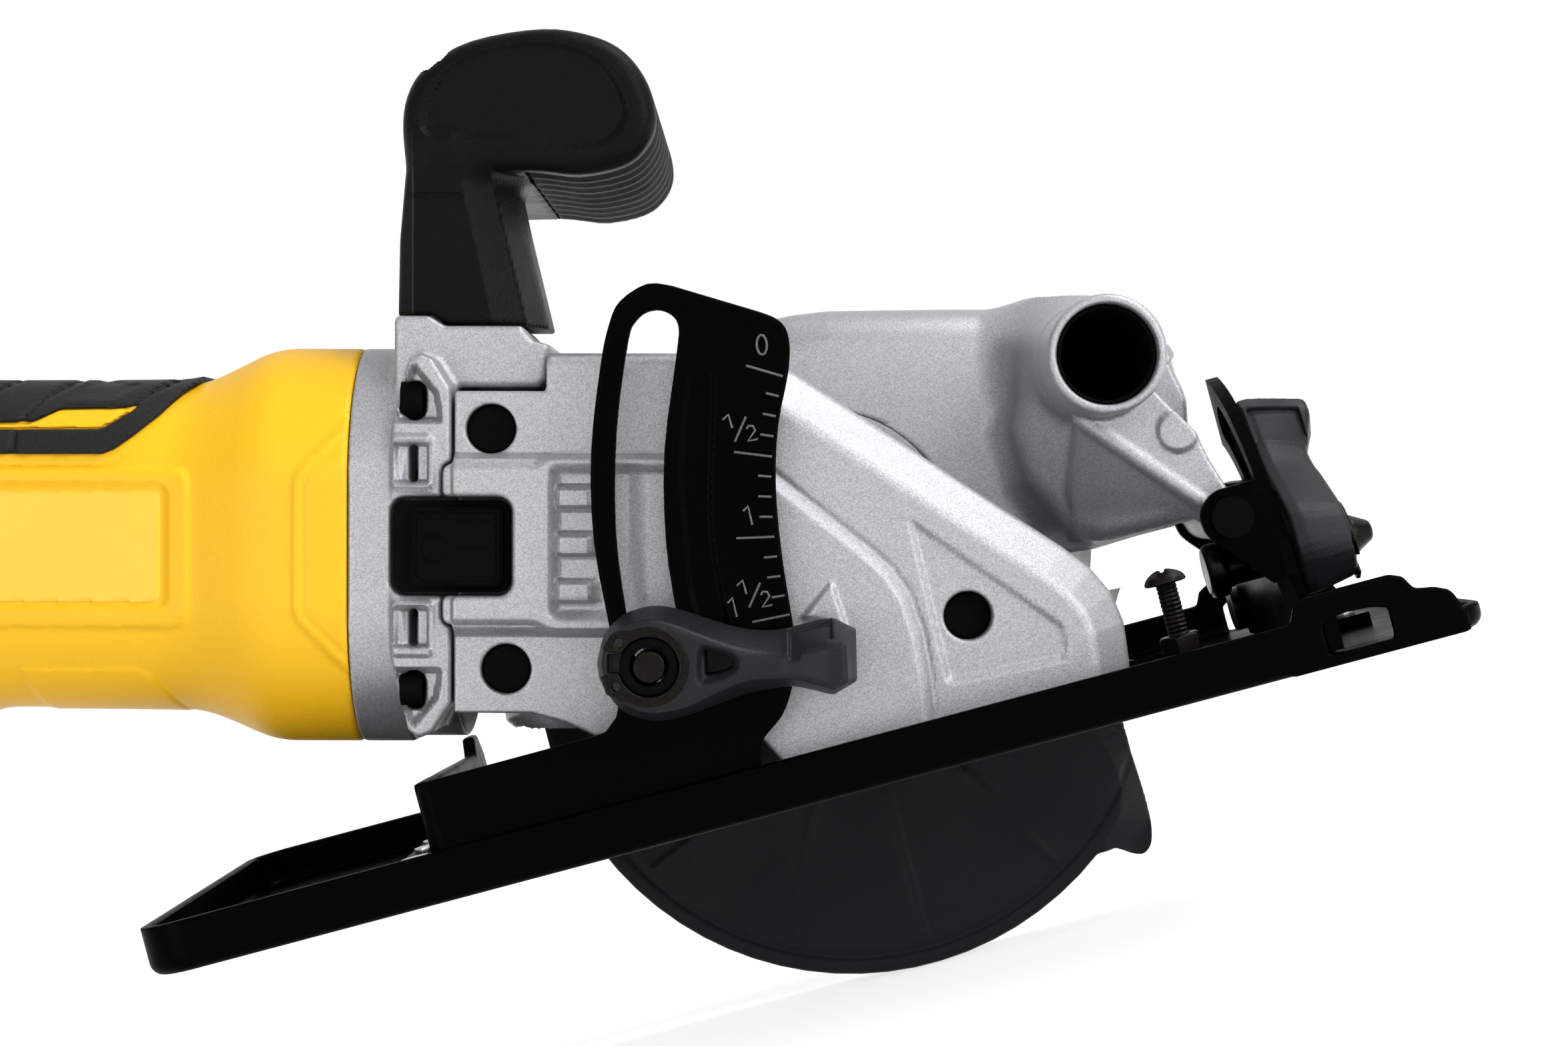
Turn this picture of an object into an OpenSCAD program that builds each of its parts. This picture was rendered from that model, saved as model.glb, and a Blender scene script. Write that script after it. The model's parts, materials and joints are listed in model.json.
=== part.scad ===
// Compact cordless circular saw: steel shoe, tilting frame, cast gear case,
// barrel grip housing and slide-on battery pack. Millimetres.
// X forward (cutting direction), Y to the blade side, Z up, Z = 0 under the shoe.

/* [Blade] */
// Saw blade diameter
blade_d = 115; // [110:0.5:116]
// Blade plate thickness
blade_t = 1.6; // [1.2:0.1:2]
// Blade bore diameter
arbor_d = 9.5; // [9:0.1:10]

/* [Shoe] */
// Length of the shoe ahead of the arbor
shoe_front = 108; // [106:1:118]
// Length of the shoe behind the arbor
shoe_rear = 133; // [126:1:145]
// Shoe edge on the motor side, from the motor axis
shoe_right = 48; // [47:0.5:52]
// Shoe edge on the blade side, from the motor axis
shoe_left = 72; // [70:0.5:78]
// Shoe plate thickness
shoe_t = 2; // [1.5:0.1:2.3]
// Height of the shoe flange
flange_h = 9; // [7:0.5:10]

/* [Depth and bevel] */
// Thickness of the frame plates
frame_t = 2.5; // [2:0.1:2.8]
// Largest depth swing in degrees
depth_travel = 30; // [26:0.5:30]
// Width of the depth slot
slot_w = 8.3; // [7.8:0.1:9]
// Largest bevel in degrees
bevel_travel = 50; // [45:1:52]
// Diameter of the depth and bevel clamp bolts
bolt_d = 6; // [5:0.1:6]

/* [Motor and body] */
// Pitch of the body about the cross axis in degrees
tilt = 15; // [14:0.25:15.5]
// Height of the motor axis over the arbor
motor_z = 24; // [23.5:0.25:25]
// Outer radius of the motor flange and barrel
barrel_r = 36.2; // [35:0.1:37]
// Wall of the plastic housing
wall = 2.4; // [2:0.1:3]
// Distance from the blade to the motor axis
blade_y = 45; // [44.5:0.25:46]

/* [Guard and dust port] */
// Wall of the cast guard
guard_t = 3; // [2.6:0.1:3.3]
// Inside diameter of the dust port
port_d = 18.5; // [17.5:0.25:19]
// Outside diameter of the dust port
port_od = 22; // [21.5:0.25:23]

/* [Battery] */
// Width of the battery pack
pack_w = 76; // [72:1:80]
// Height of the battery pack
pack_h = 112; // [106:1:118]
// Depth of the battery pack behind its rails
pack_t = 44; // [42:1:50]

/* [Hidden] */
$fn = 48;
fit = 0.05;          // running clearance of shafts and pins
gap = 0.4;           // clearance between pieces that move past each other
eps = 0.01;

// arbor and blade
arbor_z = 18.1;
blade_r = blade_d / 2;
guard_r = blade_r + 5.8;
guard_in = guard_r + 4.5;
guard_out = guard_in + guard_t;

// stack across the machine, from the motor side to the blade side
case_y = -38;
case_back = 26;
wall_y0 = blade_y - 9.5;
wall_y1 = wall_y0 + guard_t;
cheek_y0 = blade_y - 5.7;
cheek_t = 1.7;
cheek_y1 = cheek_y0 + cheek_t;
far_y1 = blade_y + 7.1;
far_y0 = far_y1 - cheek_t;
outer_y0 = far_y1 + 1.4;
outer_y1 = outer_y0 + 2.5;

// depth pivot, in shoe axes and in body axes
piv_x = 75;
piv_z = 28;
pvx = piv_x * cos(tilt) - (piv_z - arbor_z) * sin(tilt);
pvz = piv_x * sin(tilt) + (piv_z - arbor_z) * cos(tilt);
pin_r = 2.5;
knuckle_r = 4.3;
// depth bolt in body axes and in shoe axes
bolt_x = -36.4;
bolt_z = 3.3;
bx = bolt_x * cos(tilt) + bolt_z * sin(tilt);
bz = arbor_z - bolt_x * sin(tilt) + bolt_z * cos(tilt);
slot_r = norm([bx - piv_x, bz - piv_z]);
slot_a = atan2(bz - piv_z, bx - piv_x);

// bevel axis and clamp
bevel_y = blade_y;
bevel_z = 8;
bevel_r = 41;
bevel_a = 165;
clamp_y = bevel_y + bevel_r * cos(bevel_a);
clamp_z = bevel_z + bevel_r * sin(bevel_a);
yoke_x = piv_x + knuckle_r + 0.5;
quad_x = yoke_x + frame_t + gap;
quad_t = 2.5;
lever_x = quad_x + quad_t + gap;
frame_y = -shoe_right + shoe_t + gap;
frame_z = shoe_t + 0.5;
yoke_y0 = -5.4;
ear_t = 2.5;
yoke_y1 = wall_y0 - ear_t - gap;
rear_x = -80;

// gear train
lay_x = -6;
lay_z = motor_z;
spur_dist = norm([lay_x, lay_z]);
pinion_teeth = 12;
gear_teeth = 40;
small_teeth = 21;
large_teeth = 28;
spur_mod = 2 * spur_dist / (small_teeth + large_teeth);
bevel_rg = 20;
bevel_rp = bevel_rg * pinion_teeth / gear_teeth;

// grip and foot along the motor axis
flange_x0 = -90.7;
flange_x1 = -72;
foot_x = -238;
tail_x = -262;

function arc(r, a0, a1, n) =
  [for (i = [0 : n]) let (a = a0 + (a1 - a0) * i / n) [r * cos(a), r * sin(a)]];
function shift(p, c) = [for (q = p) [q[0] + c[0], q[1] + c[1]]];

// extrusions: an XZ outline along Y, a YZ outline along X
module xz(y0, y1) translate([0, y1, 0]) rotate([90, 0, 0]) linear_extrude(y1 - y0) children();
module yz(x0, x1) translate([x0, 0, 0]) rotate([90, 0, 90]) linear_extrude(x1 - x0) children();
module cyl_x(x0, x1, y, z, r) translate([x0, y, z]) rotate([0, 90, 0]) cylinder(r = r, h = x1 - x0);
module cyl_y(x, z, y0, y1, r) translate([x, y0, z]) rotate([-90, 0, 0]) cylinder(r = r, h = y1 - y0);
module cyl_z(x, y, z0, z1, r) translate([x, y, z0]) cylinder(r = r, h = z1 - z0);
module box(a, b) translate(a) cube(b - a);
module rounded(a, b, r) {
  translate([a[0] + r, a[1]]) square([b[0] - a[0] - 2 * r, b[1] - a[1]]);
  translate([a[0], a[1] + r]) square([b[0] - a[0], b[1] - a[1] - 2 * r]);
  for (x = [a[0] + r, b[0] - r], y = [a[1] + r, b[1] - r]) translate([x, y]) circle(r);
}
// places body pieces, drawn about the arbor with the motor axis level
module in_body() translate([0, 0, arbor_z]) rotate([0, tilt, 0]) children();
// everything under a height over the shoe, drawn in body axes
module below(z) rotate([0, -tilt, 0]) translate([-300, -200, z - arbor_z - 200]) cube([600, 400, 200]);

// ---------- shoe ----------
window_x0 = -76;
window_x1 = 66;
window_y0 = blade_y - 19;
window_y1 = blade_y + 18;
fence_x0 = 79.3;
fence_x1 = 91;
tray_screw = [-108, 24];
module flange_hump(y) {
  xz(y, y + shoe_t) polygon([[73.8, flange_h - 1], [77, flange_h + 4], [93.3, flange_h + 4],
    [96.4, flange_h + 0.3], [96.4, flange_h - 1]]);
}
module shoe_plate() color([0.05, 0.05, 0.06]) difference() {
  union() {
    difference() {
      linear_extrude(flange_h) rounded([-shoe_rear, -shoe_right], [shoe_front, shoe_left], 9);
      translate([0, 0, shoe_t]) linear_extrude(flange_h)
        rounded([-shoe_rear + shoe_t, -shoe_right + shoe_t], [shoe_front - shoe_t, shoe_left - shoe_t], 7);
      box([103, -100, 4.4], [200, 100, 30]);
      box([96.4, -100, flange_h - 1.6], [103.1, 100, 30]);
    }
    flange_hump(-shoe_right);
    flange_hump(shoe_left - shoe_t);
  }
  translate([0, 0, -1]) linear_extrude(shoe_t + 2)
    rounded([window_x0, window_y0], [window_x1, window_y1], 5);
  box([fence_x0, -100, shoe_t], [fence_x1, 100, 8]);
  box([shoe_front - 7, blade_y - 2, -1], [shoe_front + 1, blade_y + 2, 20]);
  for (x = [yoke_x + frame_t + 9, rear_x - 9.5], y = [2, 22, 36])
    cyl_z(x, y, -1, 10, 1.5 + fit);
  cyl_z(tray_screw[0], tray_screw[1], -1, 10, 1.5 + fit);
}
module quadrant() color([0.06, 0.06, 0.07]) difference() {
  union() {
    yz(quad_x, quad_x + quad_t) {
      polygon(concat(
        shift(arc(bevel_r + 6.5, 102.4, 172, 18), [bevel_y, bevel_z]),
        [[-3, shoe_t], [bevel_y + 5.5, shoe_t], [bevel_y + 5.5, bevel_z + 4]],
        [[bevel_y - 4, bevel_z + 6], [bevel_y - 27, bevel_z + 7]],
        shift(arc(bevel_r - 6.5, 160, 107, 14), [bevel_y, bevel_z])));
    }
    box([quad_x + quad_t, -3, shoe_t], [quad_x + 13, bevel_y + 5, shoe_t + 2.3]);
  }
  yz(quad_x - 1, quad_x + quad_t + 1) {
    translate([bevel_y, bevel_z]) {
      polygon(concat(arc(bevel_r + bolt_d / 2 + gap, bevel_a - bevel_travel, bevel_a, 18),
        arc(bevel_r - bolt_d / 2 - gap, bevel_a, bevel_a - bevel_travel, 18)));
      for (a = [bevel_a - bevel_travel, bevel_a]) rotate(a) translate([bevel_r, 0]) circle(bolt_d / 2 + gap);
    }
  }
  cyl_x(quad_x - 1, quad_x + quad_t + 1, bevel_y, bevel_z, pin_r + fit);
  for (y = [2, 22, 36]) cyl_z(yoke_x + frame_t + 9, y, 0, 10, 1.5 + fit);
}
module rear_bracket() color([0.06, 0.06, 0.07]) difference() {
  union() {
    yz(rear_x - gap - frame_t, rear_x - gap) {
      polygon([[-2, shoe_t], [bevel_y + 5.5, shoe_t], [bevel_y + 5.5, bevel_z], [bevel_y + 3, bevel_z + 5],
        [bevel_y - 4, bevel_z + 5], [bevel_y - 12, shoe_t + 4], [-2, shoe_t + 4]]);
    }
    box([rear_x - 14, -2, shoe_t], [rear_x - gap - frame_t, bevel_y + 5, shoe_t + 2.3]);
  }
  cyl_x(rear_x - 5, rear_x + 1, bevel_y, bevel_z, pin_r + fit);
  for (y = [2, 22, 36]) cyl_z(rear_x - 9.5, y, 0, 10, 1.5 + fit);
}
module rivet(x, y, z0, z1) {
  cyl_z(x, y, z0, z1, 1.5);
  cyl_z(x, y, z1, z1 + 1.1, 2.6);
}
module shoe_fasteners() color([0.35, 0.35, 0.37]) {
  for (x = [yoke_x + frame_t + 9, rear_x - 9.5], y = [2, 22, 36]) rivet(x, y, 0.2, shoe_t + 2.3);
  difference() {
    rivet(tray_screw[0], tray_screw[1], 0.2, shoe_t);
    box([tray_screw[0] - 2, tray_screw[1] - 0.3, shoe_t + 0.6], [tray_screw[0] + 2, tray_screw[1] + 0.3, shoe_t + 3]);
  }
}

// ---------- bevel frame ----------
bracket_out = slot_r + 7.7;
bracket_in = slot_r - 24.5;
bracket_top = slot_a - depth_travel - 4.7;
module depth_bracket() color([0.05, 0.05, 0.06]) difference() {
  union() {
    xz(frame_y, frame_y + frame_t) polygon(concat(
      [[rear_x + frame_t, frame_z], [rear_x + frame_t, 17.5], [rear_x + frame_t + 2.5, 21],
       [-48.8, 21.1], [-43.6, 20.8]],
      shift(arc(bracket_out, 183, bracket_top + 2.6, 16), [piv_x, piv_z]),
      shift(arc(bracket_out - 1.6, bracket_top + 1.2, bracket_top + 1, 1), [piv_x, piv_z]),
      shift(arc(bracket_out - 5, bracket_top + 0.1, bracket_top, 1), [piv_x, piv_z]),
      shift(arc(bracket_in + 5, bracket_top, bracket_top + 0.1, 1), [piv_x, piv_z]),
      shift(arc(bracket_in + 1.4, bracket_top + 1.1, bracket_top + 1.6, 1), [piv_x, piv_z]),
      shift(arc(bracket_in, bracket_top + 3.6, 180, 14), [piv_x, piv_z]),
      [[-11.6, 21], [-14.6, 16.4], [-18.9, 13.6], [-20.2, 10], [-20.4, 8.4]],
      [[yoke_x, 8.4], [yoke_x, frame_z]]));
    box([rear_x + frame_t + 8, frame_y + frame_t, frame_z], [yoke_x - 22, frame_y + frame_t + 9, frame_z + 2]);
  }
  xz(frame_y - 1, frame_y + frame_t + 1) translate([piv_x, piv_z]) {
    polygon(concat(arc(slot_r + slot_w / 2, slot_a - depth_travel + 0.3, slot_a + 0.3, 20),
      arc(slot_r - slot_w / 2, slot_a + 0.3, slot_a - depth_travel + 0.3, 20)));
    for (a = [slot_a - depth_travel + 0.3, slot_a + 0.3]) rotate(a) translate([slot_r, 0]) circle(slot_w / 2);
  }
}
module ear(y0) {
  xz(y0, y0 + ear_t) {
    translate([piv_x, piv_z]) circle(5.6);
    polygon([[piv_x - 4, piv_z - 4], [yoke_x, piv_z - 14], [yoke_x, piv_z + 5.6], [piv_x, piv_z + 5.6]]);
  }
}
module front_yoke() color([0.06, 0.06, 0.07]) difference() {
  union() {
    yz(yoke_x, yoke_x + frame_t) polygon([[yoke_y0, frame_z], [bevel_y, frame_z], [bevel_y + 5.4, bevel_z],
      [bevel_y + 4, bevel_z + 4], [bevel_y - 6, bevel_z + 8], [yoke_y1 + ear_t, piv_z + 3],
      [yoke_y1 + ear_t - 2, piv_z + 5.6], [yoke_y0 + 2, piv_z + 5.6], [yoke_y0, piv_z + 3]]);
    yz(yoke_x, yoke_x + frame_t) polygon([[frame_y + 4, frame_z], [yoke_y0 + 1, frame_z],
      [yoke_y0 + 1, 16], [yoke_y0 - 8, 8.4], [frame_y + 4, 8.4]]);
    yz(yoke_x, yoke_x + frame_t) polygon([[frame_y, frame_z], [frame_y + 4.5, frame_z],
      [frame_y + 4.5, 8.4], [frame_y, 8.4]]);
    ear(yoke_y0);
    ear(yoke_y1);
    box([yoke_x - 24, frame_y + frame_t + 9, frame_z], [yoke_x, yoke_y0 + 10, frame_z + 2.3]);
    box([yoke_x - 22, frame_y + frame_t, frame_z], [yoke_x, frame_y + frame_t + 9, frame_z + 2.3]);
  }
  cyl_x(yoke_x - 1, yoke_x + frame_t + 1, clamp_y, clamp_z, bolt_d / 2);
  cyl_x(yoke_x - 1, yoke_x + frame_t + 1, bevel_y, bevel_z, pin_r);
  cyl_y(piv_x, piv_z, yoke_y0 - 1, yoke_y0 + ear_t + 1, pin_r);
  cyl_y(piv_x, piv_z, yoke_y1 - 1, yoke_y1 + ear_t + 1, pin_r);
  cyl_z(stop_x, stop_y, 0, 20, 2);
}
module rear_crossbar() color([0.06, 0.06, 0.07]) difference() {
  union() {
    yz(rear_x, rear_x + frame_t) polygon([[frame_y, frame_z], [bevel_y, frame_z], [bevel_y + 5.4, bevel_z],
      [bevel_y + 7, 15], [bevel_y + 7, 19], [bevel_y + 3, 23], [bevel_y - 4, 23], [bevel_y - 8, 19.5],
      [frame_y + 4, 21], [frame_y, 17.5]]);
  }
  cyl_x(rear_x - 1, rear_x + frame_t + 1, bevel_y, bevel_z, pin_r);
  yz(rear_x - 1, rear_x + frame_t + 1) rounded([-20, 11], [22, 16.5], 2.5);
}
module bevel_pins() color([0.5, 0.5, 0.52]) {
  cyl_x(yoke_x - 2.4, quad_x + quad_t + 1.2, bevel_y, bevel_z, pin_r);
  cyl_x(yoke_x - 2.4, yoke_x, bevel_y, bevel_z, 4.4);
  cyl_x(rear_x - gap - frame_t - 1.2, rear_x + frame_t + 2.4, bevel_y, bevel_z, pin_r);
  cyl_x(rear_x + frame_t, rear_x + frame_t + 2.4, bevel_y, bevel_z, 4.4);
}
module depth_pin() color([0.12, 0.12, 0.13]) {
  cyl_y(piv_x, piv_z, yoke_y0 - 1, yoke_y1 + ear_t, pin_r);
  cyl_y(piv_x, piv_z, yoke_y0 - 1.8, yoke_y0, pin_r + 1.4);
}
module bevel_bolt() color([0.2, 0.2, 0.22]) {
  cyl_x(yoke_x - 2.5, lever_x + hub_h + 2, clamp_y, clamp_z, bolt_d / 2);
  cyl_x(yoke_x - 2.5, yoke_x, clamp_y, clamp_z, bolt_d * 0.75);
  translate([lever_x + hub_h, clamp_y, clamp_z]) rotate([0, 90, 0]) cylinder(r1 = 4.6, r2 = 1.8, h = 4.8, $fn = 12);
}
stop_x = 57.6;
stop_y = -25;
module stop_screw() color([0.08, 0.08, 0.09]) difference() {
  union() {
    cyl_z(stop_x, stop_y, shoe_t + 0.3, 20.4, 2);
    cyl_z(stop_x, stop_y, 20.2, 23, 3.9);
  }
  box([stop_x - 2.2, stop_y - 0.5, 21.8], [stop_x + 2.2, stop_y + 0.5, 25]);
  box([stop_x - 0.5, stop_y - 2.2, 21.8], [stop_x + 0.5, stop_y + 2.2, 25]);
}
module stop_nut() color([0.08, 0.08, 0.09]) translate([stop_x, stop_y, frame_z + 2.3]) difference() {
  rotate(15) cylinder(r = 4, h = 6, $fn = 6);
  translate([0, 0, -1]) cylinder(r = 2, h = 8);
}

// ---------- clamp levers ----------
lever_len = 35;
hub_r = 9.4;
hub_h = 11;
arm_h = 10.4;
wing_h = 13.8;
bevel_lever_a = 137;
// lever outline about its bolt, wing along +x
module lever_outline() {
  circle(hub_r);
  polygon([[4.5, 8.2], [13.2, 6.6], [18, 5.7], [22.5, 5.8], [lever_len - 4.4, 7.6], [lever_len, 5.8],
    [lever_len, -3.4], [lever_len - 4, -5.2], [24.4, -4.2], [16, -5.1], [4.5, -8.2]]);
}
// clamp lever along +z: cup shaped hub, pocket in the neck, raised wing
module lever() difference() {
  union() {
    linear_extrude(hub_h) circle(hub_r);
    linear_extrude(arm_h) lever_outline();
    translate([0, 0, arm_h - 1]) linear_extrude(wing_h - arm_h + 1) intersection() {
      lever_outline();
      translate([lever_len - 9, -12]) square([20, 24]);
    }
  }
  translate([0, 0, -1]) cylinder(r = bolt_d / 2 + fit, h = 20);
  translate([0, 0, hub_h - 1.4]) cylinder(r = 7, h = 8);
  translate([0, 0, 3.5]) linear_extrude(20) polygon([[9.9, 3.2], [14.3, 2.5], [15.4, 0.7], [14.3, -1.1], [9.9, -3.2]]);
}
module lever_ring() difference() {
  translate([0, 0, hub_h - 1.4]) cylinder(r = 6.8, h = 1.4);
  cylinder(r = bolt_d / 2 + 0.3, h = 20);
  for (a = [145, 215]) rotate(a) translate([5.7, 0, 0]) cylinder(r = 0.8, h = 20);
}
module at_clamp() translate([lever_x, clamp_y, clamp_z]) rotate([0, 90, 0]) rotate(bevel_lever_a) children();
module bevel_lever() color([0.1, 0.1, 0.11]) at_clamp() lever();
module bevel_lever_ring() color([0.2, 0.2, 0.22]) at_clamp() lever_ring();
lever_y = frame_y - gap;
module at_depth_bolt() in_body() translate([bolt_x, lever_y, bolt_z]) rotate([90, 0, 0]) children();
module depth_lever() color([0.1, 0.1, 0.11]) at_depth_bolt() lever();
module depth_lever_ring() color([0.2, 0.2, 0.22]) at_depth_bolt() lever_ring();
module depth_bolt() color([0.2, 0.2, 0.22]) {
  in_body() cyl_y(bolt_x, bolt_z, lever_y - hub_h - 1, case_y + 8, bolt_d / 2);
  at_depth_bolt() translate([0, 0, hub_h]) cylinder(r = 4.6, h = 0.8);
}

// ---------- cast gear case ----------
// side outline of the gear case in body axes
module case_outline() polygon([[flange_x1, -5.7], [-56, -5.7], [-48, -10.3], [-19, -8.5], [-14, -14],
  [-6, -17], [48, -12], [48, 3], [47, 10.8], [44.6, 16.4], [38.5, 22], [-17, 57.8], [flange_x1, 57.8]]);
// one bevelled edge along a straight line of the outline
module edge_cut(p, q, size) {
  a = atan2(q[1] - p[1], q[0] - p[0]);
  translate([p[0], case_y, p[1]]) rotate([0, -a, 0]) rotate([45, 0, 0])
    translate([-20, -20, -size * 0.707]) cube([norm(q - p) + 40, 40, 40]);
}
hole_a = [-65.3, 44.3];
hole_b = [-62.6, 1.9];
hole_c = [18.9, 11.5];
lock_a = [-80.5, 15.5];
lock_b = [-60.6, 32];
case_hole_r = 4.4;
module gear_case() color([0.72, 0.73, 0.75]) in_body() difference() {
  union() {
    xz(case_y, case_back) case_outline();
    xz(case_y - 1.6, case_y) polygon([[-56.3, 9.9], [-47, 9.9], [-47, 39.2], [-56.3, 39.2]]);
    xz(case_y - 0.9, case_y) difference() {
      polygon([[9.1, 27.1], [15, 0.8], [36.4, 3.6], [36, 9.2]]);
      polygon([[10.9, 22.8], [16, 2.4], [34.9, 4.9], [34.6, 8.6]]);
    }
  }
  below(frame_z + 2.3 + 1.4);
  edge_cut([-17, 57.8], [38.5, 22], 6.5);
  edge_cut([38.5, 22], [44.6, 16.4], 6.5);
  edge_cut([47, 10.8], [48, -12], 4);
  edge_cut([flange_x1, 57.8], [-17, 57.8], 4);
  for (z = [16.1, 24.3, 32.5]) box([-48.6, case_y - 3, z - 2.6], [-44, case_y + 1.6, z + 2.6]);
  for (h = [hole_a, hole_b]) cyl_y(h[0], h[1], case_y - 3, case_y + 15, case_hole_r);
  cyl_y(hole_c[0], hole_c[1], case_y - 3, case_y + 12, 4.5);
  box([lock_a[0], case_y - 3, lock_a[1]], [lock_b[0], case_y + 8, lock_b[1]]);
  // cavities for the gears and their bearings
  cyl_y(lay_x, lay_z, -15.5, case_back + 1, 23.5);
  cyl_y(lay_x, lay_z, -26, -15, 11 + 0.02);
  cyl_x(flange_x1 - 1, -24, 0, motor_z, 11.02);
  cyl_y(0, 0, 18, case_back + 1, 9.5 + 0.02);
  cyl_y(0, 0, 10, 19, 5);
  cyl_y(bolt_x, bolt_z, case_y - 1, case_y + 8, bolt_d / 2);
  // lightening pockets from the blade side
  xz(case_y + 18, case_back + 1) polygon([[-67, 38], [-36, 38], [-36, 53], [-67, 53]]);
  xz(case_y + 18, case_back + 1) polygon([[-67, -1], [-52, -1], [-46, -5], [-36, -5], [-36, 10], [-67, 10]]);
  xz(case_y + 16, case_back + 1) polygon([[20, 6], [43, 0], [42, 12], [34, 19], [22, 27], [18.5, 16]]);
}
module cover_outline() {
  circle(arbor_z - 0.8);
  translate([lay_x, lay_z]) circle(26);
  polygon([[-64, -3], [-30, -6], [-14, 0], [17, 3], [34, 18], [-6, 50], [-20, 54], [-64, 54]]);
}
module gear_cover() color([0.68, 0.69, 0.71]) in_body() difference() {
  union() {
    xz(case_back, wall_y0) cover_outline();
    cyl_y(0, 0, wall_y0, cheek_y1 + 1.4, hub_boss_r);
  }
  cyl_y(lay_x, lay_z, case_back - 1, case_back + 5.9, small_teeth * spur_mod / 2 + 1.6);
  cyl_y(0, 0, case_back - 1, case_back + 5.9, large_teeth * spur_mod / 2 + 1.5);
  cyl_y(lay_x, lay_z, case_back + 5, wall_y0 - 1.4, 6.5 + 0.02);
  cyl_y(0, 0, wall_y0 - 1.4, wall_y0 + 4.6, 12.02);
  cyl_y(0, 0, case_back + 5, 60, 7);
}
hub_boss_r = 14.5;
guard_bore = hub_boss_r + fit;

// ---------- upper guard with dust port ----------
port_x = guard_out - 25.6;
port_z = guard_out - 12.2;
port_y = -20;
// outline of the guard from its rear edge over the top to the nose
function guard_path(r, top) = concat(arc(r, 188, 92, 24),
  [[40, top], [56, top - 3], [64.5, top - 10.6], [66.6, top - 14], [67.2, 40.4], [pvx + 2.2, 33]]);
module guard_solid() polygon(concat(guard_path(guard_out, guard_out),
  [[pvx - 2, pvz - 0.6], [57, 26.2], [48.9, 23.6], [41, 21], [30, 4], [20, -6], [-60, -20]]));
module guard_hollow() polygon(concat(arc(guard_in, 194, 92, 24),
  [[39.6, guard_in], [54.6, guard_in - 3], [61.6, guard_in - 9.4], [63.4, guard_in - 12], [64, 42],
   [62.5, 32], [62.5, -30], [-60, -30]]));
// the guard is one casting, drawn as its chute, its inner wall, its rim and its outer wall
module dust_chute() color([0.74, 0.75, 0.77]) in_body() difference() {
  union() {
    cyl_y(port_x, port_z, port_y, wall_y0, port_od / 2);
    cyl_y(port_x, port_z, 16, wall_y0, port_od / 2 + 2);
    xz(0.5, wall_y0) polygon([[43, 24.2], [57, 26.6], [65, 28.2],
      [pvx - 1, pvz - knuckle_r + 1], [pvx + 2, pvz + 2], [60, port_z - 6.6], [38, port_z - 8.6], [30, 38]]);
    cyl_y(pvx, pvz, yoke_y0 + ear_t + gap, yoke_y1 - gap, knuckle_r);
  }
  cyl_y(port_x, port_z, port_y - 1, wall_y0 + 1, port_d / 2);
  cyl_y(pvx, pvz, yoke_y0, yoke_y1 + 1, pin_r + fit);
  xz(yoke_y1 - gap, wall_y0 + 1) translate([pvx, pvz]) circle(8);
  // room for the quadrant when the saw is lifted to its least depth
  rotate([0, -tilt, 0]) translate([piv_x, 0, piv_z - arbor_z]) rotate([0, -depth_travel, 0])
    box([quad_x - piv_x - 0.5, -30, -28], [quad_x - piv_x + 30, wall_y0 + 1, 28]);
  // hollow of the chute
  xz(3.5, wall_y0 + 1) polygon([[44, 30], [62, 33], [56, port_z - 12.6], [40, port_z - 12.6]]);
}
module guard_wall() color([0.74, 0.75, 0.77]) in_body() difference() {
  xz(wall_y0, wall_y1) guard_solid();
  below(9);
  cyl_y(port_x, port_z, wall_y0 - 1, wall_y1 + 1, port_d / 2);
  cyl_y(0, 0, wall_y0 - 1, wall_y1 + 1, hub_boss_r);
}
module upper_guard() color([0.74, 0.75, 0.77]) in_body() difference() {
  xz(wall_y1, outer_y0) difference() {
    guard_solid();
    guard_hollow();
  }
  below(9);
}
// the outer wall is open round the blade screw and below the arbor
module guard_cover() color([0.74, 0.75, 0.77]) in_body() difference() {
  xz(outer_y0, outer_y1) difference() {
    guard_solid();
    circle(38);
    polygon([[-80, -9], [-25, -1], [25, 6], [47, 26], [58, 20], [60, -40], [-80, -40]]);
  }
  below(9);
}

// ---------- motor flange and front handle ----------
handle_y0 = -25;
handle_y1 = 72;
post_y1 = 6;
post_x = -76.5;
ped_z = 64.8;
module flange_outline() intersection() {
  translate([0, motor_z]) circle(barrel_r);
  translate([-33.4, motor_z - barrel_r]) square([66.8, 2 * barrel_r]);
}
pad_y = case_y + 1.8;
module motor_flange() color([0.72, 0.73, 0.75]) in_body() difference() {
  union() {
    yz(flange_x0, flange_x1) flange_outline();
    // flat pad on the side, pointed at both ends
    xz(pad_y, 0) polygon([[-82.6, 45.6], [-79.5, 56.6], [-75.5, 56.6], [flange_x1, 51], [flange_x1, -4.5],
      [-75.5, -9.6], [-79.5, -9.6], [-82.6, 1.6]]);
    xz(-29, post_y1 + 2) polygon([[-83.4, 50], [-83.4, ped_z], [-61.5, ped_z], [-56.4, 60.6], [-56.4, 58.2],
      [flange_x1, 58.2], [flange_x1, 50]]);
  }
  cyl_x(flange_x0 - 1, flange_x1 + 1, 0, motor_z, 27);
  box([-83, -40, 15.5], [flange_x1 + 1, -20, 32]);
  // screw windows in the side
  for (s = [-1, 1]) {
    box([-81.5, -40, motor_z + s * 25.6 - 5], [-75, -26, motor_z + s * 25.6 + 5]);
    box([-81.3, -40, motor_z + s * 14.2 - 3.6], [-76, -30, motor_z + s * 14.2 + 3.6]);
  }
  for (y = [-21, -3]) cyl_z(post_x, y, 55, 70, 2.5);
}
module flange_screws() color([0.12, 0.12, 0.13]) in_body()
  for (s = [-1, 1]) cyl_x(flange_x1 - 9.5, flange_x1 - 5.6, 5 - barrel_r, motor_z + s * 25.6, 3.2);
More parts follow.
